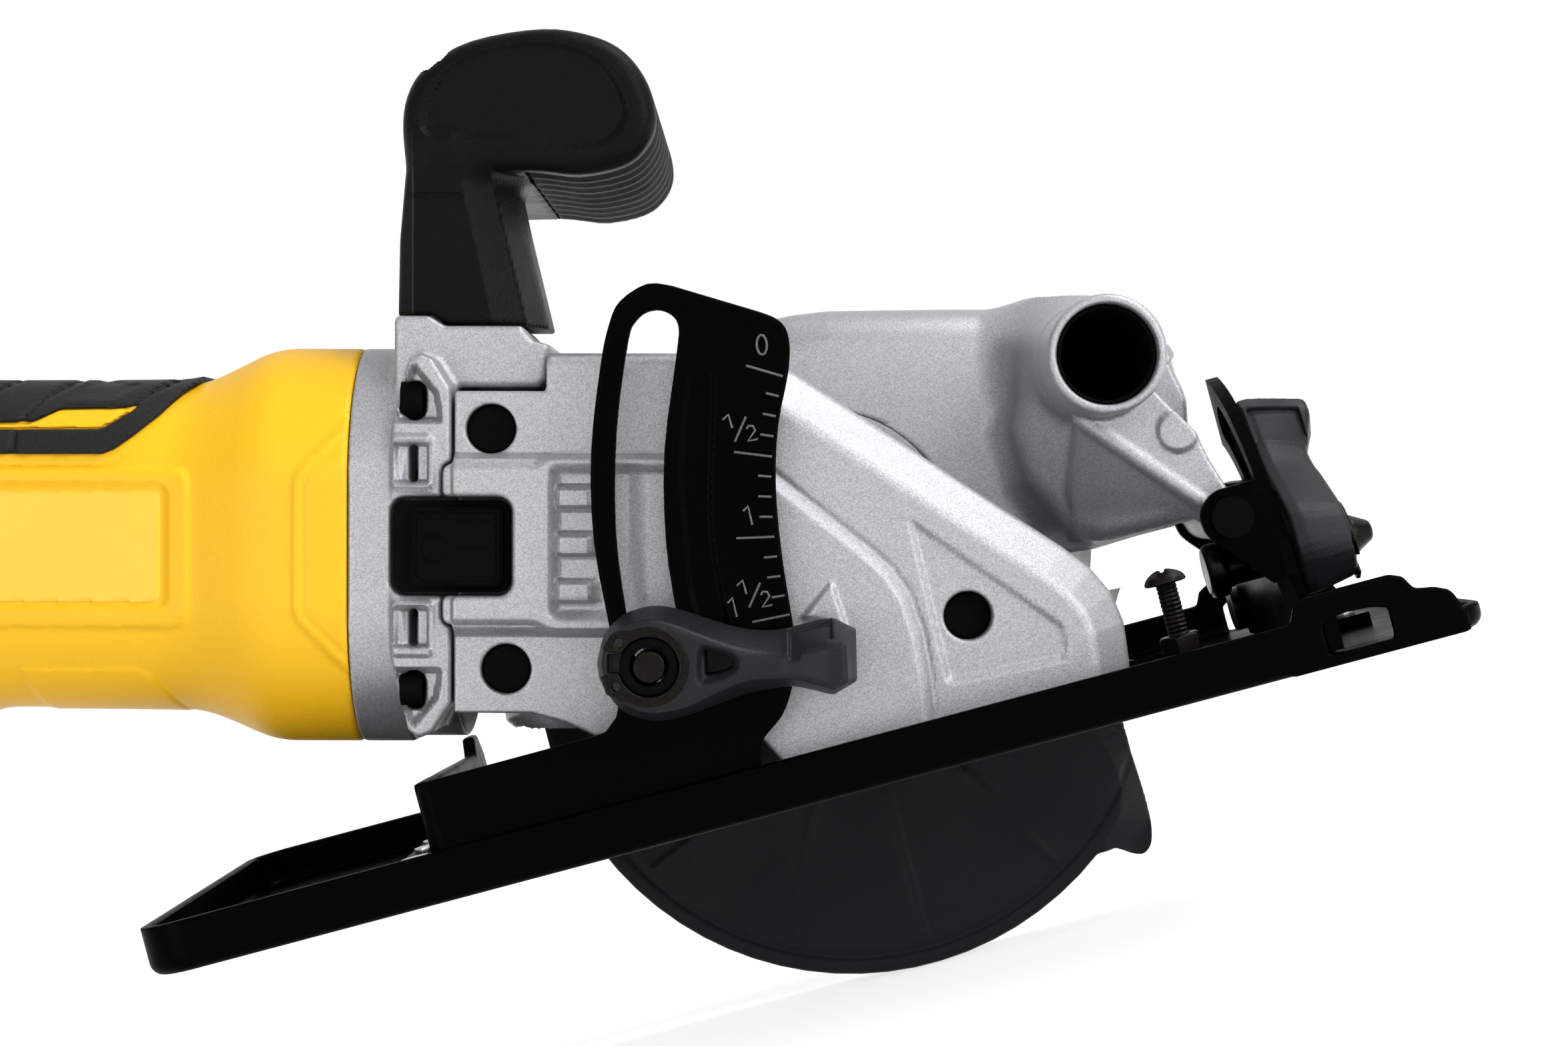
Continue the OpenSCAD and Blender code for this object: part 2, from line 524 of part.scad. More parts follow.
module case_screws() color([0.15, 0.15, 0.16]) in_body() for (h = [hole_a, hole_b])
  difference() {
    cyl_y(h[0], h[1], case_y + 11, case_y + 15, 3.6);
    translate([h[0], case_y + 10, h[1]]) rotate([-90, 0, 0]) cylinder(r = 1.8, h = 2.6, $fn = 6);
  }
// bean shaped section of the front handle
module bean(d) offset(delta = d) polygon([[-82.6, 98.5], [-81.8, 105], [-78.3, 110.3], [-70.2, 114.9],
  [-57.4, 117.1], [-48.2, 115.8], [-42.3, 112.7], [-38.2, 107], [-36.8, 100.4], [-38.6, 95.6], [-42.7, 92.3],
  [-50.7, 90.6], [-59.2, 91.4], [-70, 91.2], [-77.6, 90.4], [-81.2, 93.4]]);
module front_handle() color([0.09, 0.09, 0.1]) in_body() {
  xz(handle_y0, handle_y0 + 6) bean(0);
  xz(handle_y0 + 6, handle_y1 - 4) bean(-2.5);
  xz(handle_y1 - 4, handle_y1) bean(0);
  difference() {
    xz(handle_y0, post_y1) polygon([[-83.4, ped_z + 0.01], [-58.6, ped_z + 0.01], [-62.8, 83], [-63.4, 94], [-81.4, 94]]);
    for (y = [-21, -3]) cyl_z(post_x, y, 60, 76, 2.5);
  }
}
module front_handle_grip() color([0.07, 0.07, 0.08]) in_body() difference() {
  xz(handle_y0 + 6, handle_y1 - 4) bean(0);
  xz(handle_y0 + 5, handle_y1 - 3) bean(-2.5);
  xz(handle_y0 + 5, post_y1) polygon([[-90, 60], [-58.6, 60], [-58.6, 95], [-90, 95]]);
  for (y = [post_y1 + 8 : 6 : handle_y1 - 8])
    xz(y, y + 1.6) difference() {
      polygon([[-62, 80], [-30, 80], [-30, 112], [-46, 112]]);
      bean(-1.2);
    }
}
module handle_bolts() color([0.3, 0.3, 0.32]) in_body() for (y = [-21, -3]) cyl_z(post_x, y, 56, 75, 2.5);

// ---------- plastic housing ----------
// sections of barrel, grip and foot: x, centre height, half height, half width, corner
barrel_s = barrel_r - 0.4;
grip_hh = 29.6;
foot_hh = 42;
foot_hw = pack_w / 2 - 2;
grip_sections = [
  [flange_x0, motor_z, barrel_s, barrel_s, barrel_s],
  [-106, motor_z, barrel_s, barrel_s, barrel_s],
  [-113.5, motor_z - 0.4, barrel_s - 2.8, barrel_s - 3.2, barrel_s - 6],
  [-121, motor_z - 0.9, grip_hh + 0.4, barrel_s - 6.6, 24],
  [-132, motor_z - 0.9, grip_hh, barrel_s - 7.6, 22],
  [-158, motor_z - 0.9, grip_hh, 25.4, 20],
  [-166, motor_z - 2.2, grip_hh + 1.4, 24.6, 18],
  [-190, motor_z + 2, 24.5, 22.5, 18],
  [-228, motor_z + 4, 22, 21, 17],
  [foot_x, motor_z + 3, 28, 27, 15],
  [foot_x - 6, motor_z + 1, foot_hh, foot_hw, 12],
  [tail_x, motor_z + 1, foot_hh, foot_hw, 12]];
ring_n = 8;
// points of one rounded section, shrunk by d
function section(s, d) = [for (k = [0 : 3], i = [0 : ring_n - 1])
  let (a = 90 * k + 90 * (i + 0.5) / ring_n, r = s[4] - d,
    y = s[3] - s[4], z = s[2] - s[4], u = cos(90 * k + 45) > 0 ? 1 : -1, v = sin(90 * k + 45) > 0 ? 1 : -1)
  [s[0], u * y + r * cos(a), s[1] + v * z + r * sin(a)]];
// solid through a row of sections, each ring joined to the next
module loft(rows, d) {
  n = 4 * ring_n;
  m = len(rows);
  polyhedron(points = [for (s = rows) each section(s, d)],
    faces = concat([[for (i = [n - 1 : -1 : 0]) i]], [[for (i = [0 : n - 1]) (m - 1) * n + i]],
      [for (j = [0 : m - 2], i = [0 : n - 1]) [j * n + i, j * n + (i + 1) % n, (j + 1) * n + (i + 1) % n]],
      [for (j = [0 : m - 2], i = [0 : n - 1]) [j * n + i, (j + 1) * n + (i + 1) % n, (j + 1) * n + i]]));
}
// the same solid, cut back from both ends for the inside
module housing_solid(d) loft(grip_sections, d);
trig_x0 = -206;
trig_x1 = -172;
module housing_half(side) difference() {
  housing_solid(0);
  intersection() {
    housing_solid(wall);
    box([tail_x + wall, -100, -100], [flange_x0 + 1, 100, 200]);
  }
  xz(side > 0 ? 0 : -100, side > 0 ? 100 : 0) square([1000, 1000], center = true);
  box([trig_x0 - gap, -8, -40], [trig_x1 + gap, 8, 12]);
  cyl_y(-190, motor_z + 14, -60, 60, 5.5 + gap);
  box([tail_x - 1, -16, motor_z - 14], [tail_x + wall + 1, 16, motor_z + 20]);
}
module housing_right() color([0.95, 0.68, 0.05]) in_body() housing_half(1);
screw_at = [[-153, 24.6], [-208, 21]];   // place along the grip, and depth of the head
module housing_left() color([0.95, 0.68, 0.05]) in_body() difference() {
  housing_half(-1);
  for (p = screw_at) cyl_y(p[0], motor_z, 12, 60, 2.9);
}
module housing_screws() color([0.2, 0.2, 0.22]) in_body() for (p = screw_at) {
  cyl_y(p[0], motor_z, 12, p[1] - 1.2, 2.9);
  cyl_y(p[0], motor_z, 3.2 - p[1], 12, 1.6);
}
rubber_t = 1.2;
rubber_z = 39.9;
module grip_overmold() color([0.08, 0.08, 0.09]) in_body() difference() {
  intersection() {
    loft([for (i = [3 : 8]) grip_sections[i]], -rubber_t);
    xz(-60, 60) polygon([[-121, 80], [-121, 52.6], [-126, 47], [-130, 43.3], [-135.6, rubber_z],
      [-230, rubber_z], [-230, 80]]);
  }
  housing_solid(0);
  cyl_y(-190, motor_z + 14, -60, 60, 7);
}
plate_t = 0.5;
module rating_plate() color([0.96, 0.72, 0.1]) in_body() intersection() {
  difference() {
    loft([for (i = [3 : 5]) grip_sections[i]], -plate_t);
    housing_solid(0);
  }
  box([-153.5, -60, 12.3], [-123.7, -15, 34.4]);
}

// ---------- inside the housing ----------
module switch_body() color([0.15, 0.15, 0.16]) in_body() box([-202, -7, 24], [-176, 7, 31.8]);
module controller() color([0.1, 0.25, 0.15]) in_body() box([-236, -13, 16], [-212, 13, 40]);
module terminal_block() color([0.12, 0.12, 0.13]) in_body() {
  box([tail_x + 0.5, -15, motor_z - 13], [tail_x + 14, 15, motor_z + 19]);
  for (y = [-9, -3, 3, 9]) box([tail_x - 5, y - 0.4, motor_z - 8], [tail_x + 0.5, y + 0.4, motor_z + 12]);
}
module stator() color([0.6, 0.45, 0.3]) in_body() difference() {
  cyl_x(-136, -98, 0, motor_z, barrel_r - 11.5);
  cyl_x(-137, -97, 0, motor_z, 14.5);
}
module bearing_x(x0, x1, ro, ri) difference() {
  cyl_x(x0, x1, 0, motor_z, ro);
  cyl_x(x0 - 1, x1 + 1, 0, motor_z, ri);
}
module rotor_bearings() {
  bearing_x(-68, -61, 11, 4 + fit);
  bearing_x(-146, -140, 9.5, 4 + fit);
}
module rotor_shaft() color([0.55, 0.55, 0.58]) in_body() {
  cyl_x(-147, -28, 0, motor_z, 4);
  cyl_x(-134, -100, 0, motor_z, 13.9);
}
module fan() color([0.1, 0.1, 0.11]) in_body() difference() {
  union() {
    cyl_x(-88, -86, 0, motor_z, 25.6);
    cyl_x(-88, -78, 0, motor_z, 8);
    translate([0, 0, motor_z]) for (i = [0 : 10]) rotate([i * 360 / 11, 0, 0])
      box([-87, 7, -0.7], [-79, 25.2, 0.7]);
  }
  cyl_x(-90, -70, 0, motor_z, 4);
}
// gear wheel outline: n teeth of module m, a tooth centred on angle 0
module wheel(n, m, add, ded, thin) {
  r = n * m / 2;
  w = 90 / n * thin;
  polygon([for (i = [0 : n - 1], k = [0 : 3])
    let (c = i * 360 / n, f = [-1.5, -0.62, 0.62, 1.5][k], q = (k == 0 || k == 3) ? r - ded : r + add)
    [q * cos(c + f * w), q * sin(c + f * w)]]);
}
bevel_len = 6.6;
module bevel_pinion() color([0.5, 0.5, 0.53]) in_body() difference() {
  union() {
    translate([lay_x - bevel_rg, 0, motor_z]) rotate([0, 90, 0])
      rotate(15) linear_extrude(bevel_len, scale = 1 - bevel_len / bevel_rg)
        wheel(pinion_teeth, 1, 0.5, 1.3, 0.6);
    cyl_x(lay_x - bevel_rg - 4, lay_x - bevel_rg, 0, motor_z, 5.6);
  }
  cyl_x(-60, 0, 0, motor_z, 4);
}
gear_face = bevel_len * bevel_rp / bevel_rg;
gear_y = -bevel_rp - 0.7;
module bevel_gear() color([0.5, 0.5, 0.53]) in_body() difference() {
  union() {
    translate([lay_x, gear_y, lay_z]) rotate([-90, 0, 0])
      linear_extrude(gear_face, scale = 1 - bevel_len / bevel_rg)
        wheel(gear_teeth, 1, 1.1, 3.6, 0.6);
    cyl_y(lay_x, lay_z, gear_y - 4, gear_y, 20);
  }
  cyl_y(lay_x, lay_z, -30, 10, 6);
}
module layshaft() color([0.5, 0.5, 0.53]) in_body() {
  cyl_y(lay_x, lay_z, -25.6, case_back + 0.5, 6);
  cyl_y(lay_x, lay_z, case_back + 5.3, wall_y0 - 1.8, 3);
  translate([lay_x, case_back + 0.5, lay_z]) rotate([-90, 0, 0])
    rotate(atan2(lay_z, -lay_x)) linear_extrude(4.8) wheel(small_teeth, spur_mod, 0.7, 1.1, 0.74);
}
module layshaft_bearings() {
  difference() {
    cyl_y(lay_x, lay_z, -26, -19, 11);
    cyl_y(lay_x, lay_z, -30, -10, 6 + fit);
  }
  difference() {
    cyl_y(lay_x, lay_z, case_back + 6.1, wall_y0 - 1.4, 6.5);
    cyl_y(lay_x, lay_z, 0, 60, 3 + fit);
  }
}
module spindle_bearings() {
  difference() {
    cyl_y(0, 0, 18, 24, 9.5);
    cyl_y(0, 0, 10, 30, 4 + fit);
  }
  difference() {
    cyl_y(0, 0, wall_y0 - 1.4, wall_y0 + 4.6, 12);
    cyl_y(0, 0, 20, 60, 6 + fit);
  }
}
module bearings() color([0.6, 0.6, 0.62]) in_body() {
  rotor_bearings();
  layshaft_bearings();
  spindle_bearings();
}
flange_y0 = cheek_y1 + 1.7;
module spindle() color([0.45, 0.45, 0.48]) in_body() difference() {
  union() {
    cyl_y(0, 0, 12, case_back + 0.5, 4);
    cyl_y(0, 0, case_back + 0.5, flange_y0, 6);
    cyl_y(0, 0, flange_y0, blade_y + blade_t / 2 + 1.2, arbor_d / 2 - 0.02);
  }
  cyl_y(0, 0, blade_y - 9, 60, 2.5);
}
module spur_gear() color([0.5, 0.5, 0.53]) in_body() difference() {
  translate([0, case_back + 0.6, 0]) rotate([-90, 0, 0])
    rotate(atan2(-lay_z, lay_x) + 180 / large_teeth) linear_extrude(4.6)
      wheel(large_teeth, spur_mod, 0.7, 1.1, 0.74);
  cyl_y(0, 0, 10, 60, 6);
}
module inner_flange() color([0.55, 0.55, 0.57]) in_body() difference() {
  cyl_y(0, 0, flange_y0, blade_y - blade_t / 2, 12);
  cyl_y(0, 0, 0, 60, arbor_d / 2);
}
// toothed blade: each tooth has a steep face and a long back
blade_teeth = 24;
module blade() color([0.7, 0.71, 0.73]) in_body() difference() {
  xz(blade_y - blade_t / 2, blade_y + blade_t / 2) polygon([for (i = [0 : blade_teeth - 1], k = [0 : 4])
    let (c = i * 360 / blade_teeth, f = [0, 0.02, 0.3, 0.8, 1][k] * 360 / blade_teeth,
      q = blade_r - [0, 5.2, 6, 2.6, 0.9][k]) [q * cos(c + f), q * sin(c + f)]]);
  cyl_y(0, 0, 0, 60, arbor_d / 2);
}
module outer_flange() color([0.55, 0.55, 0.57]) in_body() difference() {
  cyl_y(0, 0, blade_y + blade_t / 2, blade_y + blade_t / 2 + 3.4, 14);
  cyl_y(0, 0, 0, blade_y + blade_t / 2 + 1.4, arbor_d / 2);
  cyl_y(0, 0, 0, 60, 3);
}
module blade_screw() color([0.2, 0.2, 0.22]) in_body() difference() {
  union() {
    cyl_y(0, 0, blade_y - 9, blade_y + blade_t / 2 + 3.4, 2.45);
    cyl_y(0, 0, blade_y + blade_t / 2 + 3.4, blade_y + blade_t / 2 + 8, 7);
  }
  translate([0, blade_y + 5, 0]) rotate([-90, 0, 0]) cylinder(r = 2.9, h = 10, $fn = 6);
}

// ---------- lower guard ----------
guard_a1 = -172;
module guard_sector(r) polygon(concat([[19, 8], [53.8, -9], [56.2, -14], [57.2, -19], [59.3, -25.7]],
  [[61.5, -33.7], [61.5, -38], [58.6, -40], [56.4, -39.1], [53.8, -38], [r * cos(-36), r * sin(-36)]],
  arc(r, -38, guard_a1, 34), [[-20, 6], [0, 19]]));
module lower_guard() color([0.07, 0.07, 0.08]) in_body() difference() {
  union() {
    xz(cheek_y0, cheek_y1) {
      guard_sector(guard_r);
      circle(20);
    }
    xz(cheek_y1 - eps, far_y0 + eps) difference() {
      guard_sector(guard_r);
      polygon(concat([[0, 30], [70, -10], [60.2, -33.9], [60.2, -38], [52.6, -36]],
        arc(guard_r - 1.8, -38, guard_a1 + 1.6, 34), [[-90, -4], [-30, 30]]));
    }
    xz(far_y0, far_y1) difference() {
      guard_sector(guard_r);
      polygon(concat([[-30, 40], [60, 40], [66, -12], [45, -22], [31, -6]], arc(26, 0, -180, 18), [[-90, 2]]));
    }
  }
  cyl_y(0, 0, cheek_y0 - 1, cheek_y1 + 1, guard_bore);
}
// keeper ring of the lower guard
module guard_ring() difference() {
  cyl_y(0, 0, cheek_y1 + 0.3, cheek_y1 + 1.3, 18);
  cyl_y(0, 0, 30, 60, hub_boss_r);
}
lever_arm_y0 = outer_y1 + 0.6;
module guard_lever() color([0.09, 0.09, 0.1]) in_body() {
  xz(far_y1, lever_arm_y0 + 2.4) polygon([[-26.4, -4.6], [-26.4, -10], [-34, -12], [-34, -6]]);
  xz(lever_arm_y0, lever_arm_y0 + 2.4) polygon([[-33, -12], [-68, -12.5], [-72, -9], [-72, -3], [-68, -1], [-33, -5.6]]);
}
module guard_spring() color([0.5, 0.5, 0.52]) in_body() {
  difference() {
    cyl_y(0, 0, wall_y1 + 0.2, cheek_y0 - 0.2, 18);
    cyl_y(0, 0, 30, 60, hub_boss_r + 0.6);
  }
  guard_ring();
}

// ---------- buttons ----------
trig_z = 3.2;
module trigger() color([0.08, 0.08, 0.09]) in_body() {
  xz(-7.4, 7.4) polygon([[trig_x0, 10], [trig_x0 + 1, -2], [trig_x0 + 8, trig_z - 4.4], [trig_x1 - 8, trig_z - 6],
    [trig_x1, -6], [trig_x1, 10]]);
  box([-192, -3, 10], [-186, 3, 16]);
}
module trigger_spring() color([0.5, 0.5, 0.52]) in_body() difference() {
  cyl_z(-189, 0, 16, 23.8, 3.2);
  cyl_z(-189, 0, 15, 25, 2.4);
}
module lock_off_button() color([0.75, 0.1, 0.08]) in_body() cyl_y(-190, motor_z + 14, -26, 26, 5.5);
module spindle_lock() color([0.05, 0.05, 0.06]) in_body()
  box([lock_a[0] + gap + 1, case_y - 0.5, lock_a[1] + gap], [lock_b[0] - gap, case_y + 4, lock_b[1] - gap]);

// ---------- battery ----------
pack_x1 = tail_x - gap;
pack_z0 = motor_z + 1 - pack_h / 2 + 6;
module battery_case() color([0.1, 0.1, 0.11]) in_body() difference() {
  translate([0, 0, pack_z0]) linear_extrude(pack_h)
    rounded([pack_x1 - pack_t, -pack_w / 2], [pack_x1, pack_w / 2], 7);
  box([pack_x1 - 7, -12, pack_z0 - 1], [pack_x1 + 1, 12, motor_z + 19]);
  translate([0, 0, pack_z0 + 3]) linear_extrude(pack_h - 6)
    rounded([pack_x1 - pack_t + 3, -pack_w / 2 + 3], [pack_x1 - 10, pack_w / 2 - 3], 5);
  box([pack_x1 - pack_t - 1, -11 - gap, pack_z0 + pack_h - 22 - gap],
    [pack_x1 - pack_t + 4, 11 + gap, pack_z0 + pack_h - 8 + gap]);
}
cell_r = 9.1;
cell_step = (pack_h - 38.4) / 4;
module battery_cells() color([0.2, 0.4, 0.6]) in_body() for (i = [0 : 4])
  cyl_y(pack_x1 - pack_t + 7.4 + cell_r + (i % 2) * 6, pack_z0 + pack_h / 8 + i * cell_step,
    -pack_w / 2 + 5.5, pack_w / 2 - 5.5, cell_r);
module battery_latch() color([0.8, 0.1, 0.08]) in_body()
  box([pack_x1 - pack_t - 1, -11, pack_z0 + pack_h - 22], [pack_x1 - pack_t + 4.5, 11, pack_z0 + pack_h - 8]);

shoe_plate();
quadrant();
rear_bracket();
shoe_fasteners();
depth_bracket();
front_yoke();
rear_crossbar();
bevel_pins();
depth_pin();
bevel_bolt();
stop_screw();
stop_nut();
bevel_lever();
bevel_lever_ring();
gear_case();
gear_cover();
dust_chute();
guard_wall();
upper_guard();
guard_cover();
motor_flange();
flange_screws();
case_screws();
front_handle();
front_handle_grip();
handle_bolts();
housing_right();
housing_left();
housing_screws();
grip_overmold();
rating_plate();
switch_body();
controller();
terminal_block();
stator();
rotor_shaft();
fan();
bevel_pinion();
layshaft();
bevel_gear();
bearings();
spindle();
spur_gear();
inner_flange();
blade();
outer_flange();
blade_screw();
lower_guard();
guard_lever();
guard_spring();
depth_bolt();
depth_lever();
depth_lever_ring();
trigger();
trigger_spring();
lock_off_button();
spindle_lock();
battery_case();
battery_cells();
battery_latch();
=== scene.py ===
import json
import math

import bpy
import numpy as np
from mathutils import Matrix, Vector

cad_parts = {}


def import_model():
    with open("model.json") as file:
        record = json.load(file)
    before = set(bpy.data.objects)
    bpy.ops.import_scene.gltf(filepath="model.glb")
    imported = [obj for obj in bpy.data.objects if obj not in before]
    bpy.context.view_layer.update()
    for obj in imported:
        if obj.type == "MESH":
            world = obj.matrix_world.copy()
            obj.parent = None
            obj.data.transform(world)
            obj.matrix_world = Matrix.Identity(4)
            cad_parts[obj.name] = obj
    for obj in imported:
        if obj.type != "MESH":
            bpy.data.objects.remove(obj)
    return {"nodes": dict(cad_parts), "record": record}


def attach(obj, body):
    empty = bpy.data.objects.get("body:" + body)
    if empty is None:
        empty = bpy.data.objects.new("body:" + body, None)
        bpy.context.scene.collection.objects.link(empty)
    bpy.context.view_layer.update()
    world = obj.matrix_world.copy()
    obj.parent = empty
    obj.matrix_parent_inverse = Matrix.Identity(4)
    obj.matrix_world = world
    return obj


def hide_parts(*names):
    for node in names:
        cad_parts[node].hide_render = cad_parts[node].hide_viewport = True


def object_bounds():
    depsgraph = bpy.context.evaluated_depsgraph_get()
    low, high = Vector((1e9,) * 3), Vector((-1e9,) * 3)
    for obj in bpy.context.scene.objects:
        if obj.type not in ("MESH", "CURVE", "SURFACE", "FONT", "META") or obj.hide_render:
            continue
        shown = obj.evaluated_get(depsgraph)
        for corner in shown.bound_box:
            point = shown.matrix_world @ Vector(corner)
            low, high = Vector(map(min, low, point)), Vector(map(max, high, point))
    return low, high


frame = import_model()
cad_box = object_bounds()
NODES = frame["nodes"]
MM = 0.001


# ---------- node groups ----------
def new_group(name, values, outputs):
    """A shader group with float inputs at their usual values, and float outputs."""
    g = bpy.data.node_groups.new(name, "ShaderNodeTree")
    for label, value in values.items():
        s = g.interface.new_socket(label, in_out="INPUT", socket_type="NodeSocketFloat")
        s.default_value = value
    for label in outputs:
        g.interface.new_socket(label, in_out="OUTPUT", socket_type="NodeSocketFloat")
    return g, g.nodes.new("NodeGroupInput"), g.nodes.new("NodeGroupOutput")


def node(tree, kind, **settings):
    n = tree.nodes.new("ShaderNode" + kind)
    for key, value in settings.items():
        if key in n.inputs:
            n.inputs[key].default_value = value
        else:
            setattr(n, key, value)
    return n


def calc(tree, operation, a, b=None):
    n = node(tree, "Math")
    n.operation = operation
    for i, v in enumerate((a, b)):
        if v is None:
            continue
        if isinstance(v, (int, float)):
            n.inputs[i].default_value = v
        else:
            tree.links.new(v, n.inputs[i])
    return n.outputs[0]


def texture(tree, kind, size_mm=None, **settings):
    """A texture node in the piece's own coordinates, at a size in mm."""
    n = node(tree, kind, **settings)
    coords = node(tree, "TexCoord")
    tree.links.new(coords.outputs["Object"], n.inputs["Vector"])
    if size_mm is not None:
        tree.links.new(calc(tree, "DIVIDE", 1000, size_mm), n.inputs["Scale"])
    return n


def remap(tree, value, **settings):
    n = node(tree, "MapRange", **{k.replace("_", " "): v for k, v in settings.items()})
    tree.links.new(value, n.inputs["Value"])
    return n.outputs["Result"]


def grain_group():
    """Fine moulded or cast grain: a height and a mask, at a size in mm."""
    g, gi, go = new_group("moulded_grain", {"Size mm": 0.5, "Roundness": 0.5}, ("Height", "Mask"))
    noise = texture(g, "TexNoise", gi.outputs["Size mm"], Detail=3.0, Roughness=0.6)
    cells = texture(g, "TexVoronoi", gi.outputs["Size mm"], feature="SMOOTH_F1")
    a = calc(g, "MULTIPLY", noise.outputs["Fac"], calc(g, "SUBTRACT", 1, gi.outputs["Roundness"]))
    b = calc(g, "MULTIPLY", cells.outputs["Distance"], gi.outputs["Roundness"])
    g.links.new(calc(g, "ADD", a, b), go.inputs["Height"])
    g.links.new(remap(g, noise.outputs["Fac"], From_Min=0.35, From_Max=0.65), go.inputs["Mask"])
    return g


def flake_group():
    """Metal flakes in a silver coat: a random value for each flake and a height."""
    g, gi, go = new_group("silver_flakes", {"Size mm": 0.3}, ("Value", "Height"))
    cells = texture(g, "TexVoronoi", gi.outputs["Size mm"])
    split = node(g, "SeparateColor")
    g.links.new(cells.outputs["Color"], split.inputs["Color"])
    g.links.new(split.outputs["Red"], go.inputs["Value"])
    noise = texture(g, "TexNoise", gi.outputs["Size mm"], Detail=2.0)
    g.links.new(noise.outputs["Fac"], go.inputs["Height"])
    return g


def handling_group():
    """Soft patches where hands and dust have changed the gloss, with a few fine scratches."""
    g, gi, go = new_group("handling_wear", {"Patch mm": 25.0, "Scratches": 0.3}, ("Patch", "Scratch"))
    patches = texture(g, "TexNoise", gi.outputs["Patch mm"], Detail=5.0, Roughness=0.65)
    g.links.new(remap(g, patches.outputs["Fac"], From_Min=0.4, From_Max=0.65), go.inputs["Patch"])
    stretch = texture(g, "Mapping", Rotation=(0.3, 0.7, 0.5), Scale=(60, 1500, 900))
    lines = node(g, "TexNoise", Scale=1.0, Detail=1.0)
    g.links.new(stretch.outputs["Vector"], lines.inputs["Vector"])
    thin = remap(g, lines.outputs["Fac"], From_Min=0.70, From_Max=0.76)
    g.links.new(calc(g, "MULTIPLY", thin, gi.outputs["Scratches"]), go.inputs["Scratch"])
    return g


def edge_group():
    """A mask of edge wear, which also paints a highlight along the edges: where the rounded normal leaves
    the face's own one.
    """
    g, gi, go = new_group("worn_edges_and_painted_highlight", {"Width mm": 0.6, "Breakup mm": 3.0, "Amount": 0.5}, ("Mask",))
    bevel = node(g, "Bevel", samples=4)
    g.links.new(calc(g, "MULTIPLY", gi.outputs["Width mm"], MM), bevel.inputs["Radius"])
    geometry = node(g, "NewGeometry")
    dot = node(g, "VectorMath", operation="DOT_PRODUCT")
    g.links.new(bevel.outputs["Normal"], dot.inputs[0])
    g.links.new(geometry.outputs["Normal"], dot.inputs[1])
    edge = remap(g, dot.outputs["Value"], From_Min=0.995, From_Max=0.93)
    noise = texture(g, "TexNoise", gi.outputs["Breakup mm"], Detail=6.0, Roughness=0.7)
    spread = calc(g, "SUBTRACT", gi.outputs["Amount"], 1)
    broken = calc(g, "GREATER_THAN", calc(g, "ADD", noise.outputs["Fac"], spread), 0)
    g.links.new(calc(g, "MULTIPLY", edge, broken), go.inputs["Mask"])
    return g


GRAIN, FLAKES, HANDLING, WORN_AND_HIGHLIGHT = grain_group(), flake_group(), handling_group(), edge_group()


def place(tree, group, **values):
    n = node(tree, "Group")
    n.node_tree = group
    for label, value in values.items():
        n.inputs[label.replace("_", " ")].default_value = value
    return n


# ---------- materials ----------
def blank(name):
    m = bpy.data.materials.new(name)
    m.use_nodes = True
    return m, m.node_tree, m.node_tree.nodes["Principled BSDF"]


def mix_colour(tree, fac, a, b):
    n = node(tree, "Mix", data_type="RGBA")
    tree.links.new(fac, n.inputs[0])
    for socket, v in ((n.inputs[6], a), (n.inputs[7], b)):
        if isinstance(v, tuple):
            socket.default_value = (*v, 1)
        else:
            tree.links.new(v, socket)
    return n.outputs[2]


def gloss_wear(tree, hand, rough, spread, scratch=None):
    """Roughness that varies with the handling patches, and more so along the scratches."""
    r = remap(tree, hand.outputs["Patch"], To_Min=rough, To_Max=rough + spread)
    if scratch is None:
        return r
    return calc(tree, "ADD", r, calc(tree, "MULTIPLY", hand.outputs["Scratch"], scratch))


def bump(tree, shader, height, depth_mm):
    n = node(tree, "Bump", Strength=1.0, Distance=depth_mm * MM)
    tree.links.new(height, n.inputs["Height"])
    tree.links.new(n.outputs["Normal"], shader.inputs["Normal"])


def plastic(name, colour, second, rough, grain_mm, depth_mm, roundness=0.6, scratches=0.3, patch=0.12,
    gloss=0.2):
    m, t, s = blank(name)
    s.inputs["Specular IOR Level"].default_value = gloss
    grain = place(t, GRAIN, Size_mm=grain_mm, Roundness=roundness)
    hand = place(t, HANDLING, Patch_mm=22.0, Scratches=scratches)
    base = mix_colour(t, grain.outputs["Mask"], colour, second)
    t.links.new(base, s.inputs["Base Color"])
    t.links.new(gloss_wear(t, hand, rough, patch, 0.2), s.inputs["Roughness"])
    bump(t, s, grain.outputs["Height"], depth_mm)
    return m


def cast_silver(name, colour, rough):
    m, t, s = blank(name)
    flakes = place(t, FLAKES, Size_mm=0.17)
    hand = place(t, HANDLING, Patch_mm=30.0, Scratches=0.4)
    dark = tuple(c * 0.72 for c in colour)
    light = tuple(min(1, c * 1.22) for c in colour)
    t.links.new(mix_colour(t, flakes.outputs["Value"], dark, light), s.inputs["Base Color"])
    s.inputs["Metallic"].default_value = 0.5
    s.inputs["Specular IOR Level"].default_value = 0.3
    t.links.new(gloss_wear(t, hand, rough, 0.08), s.inputs["Roughness"])
    bump(t, s, flakes.outputs["Height"], 0.05)
    return m


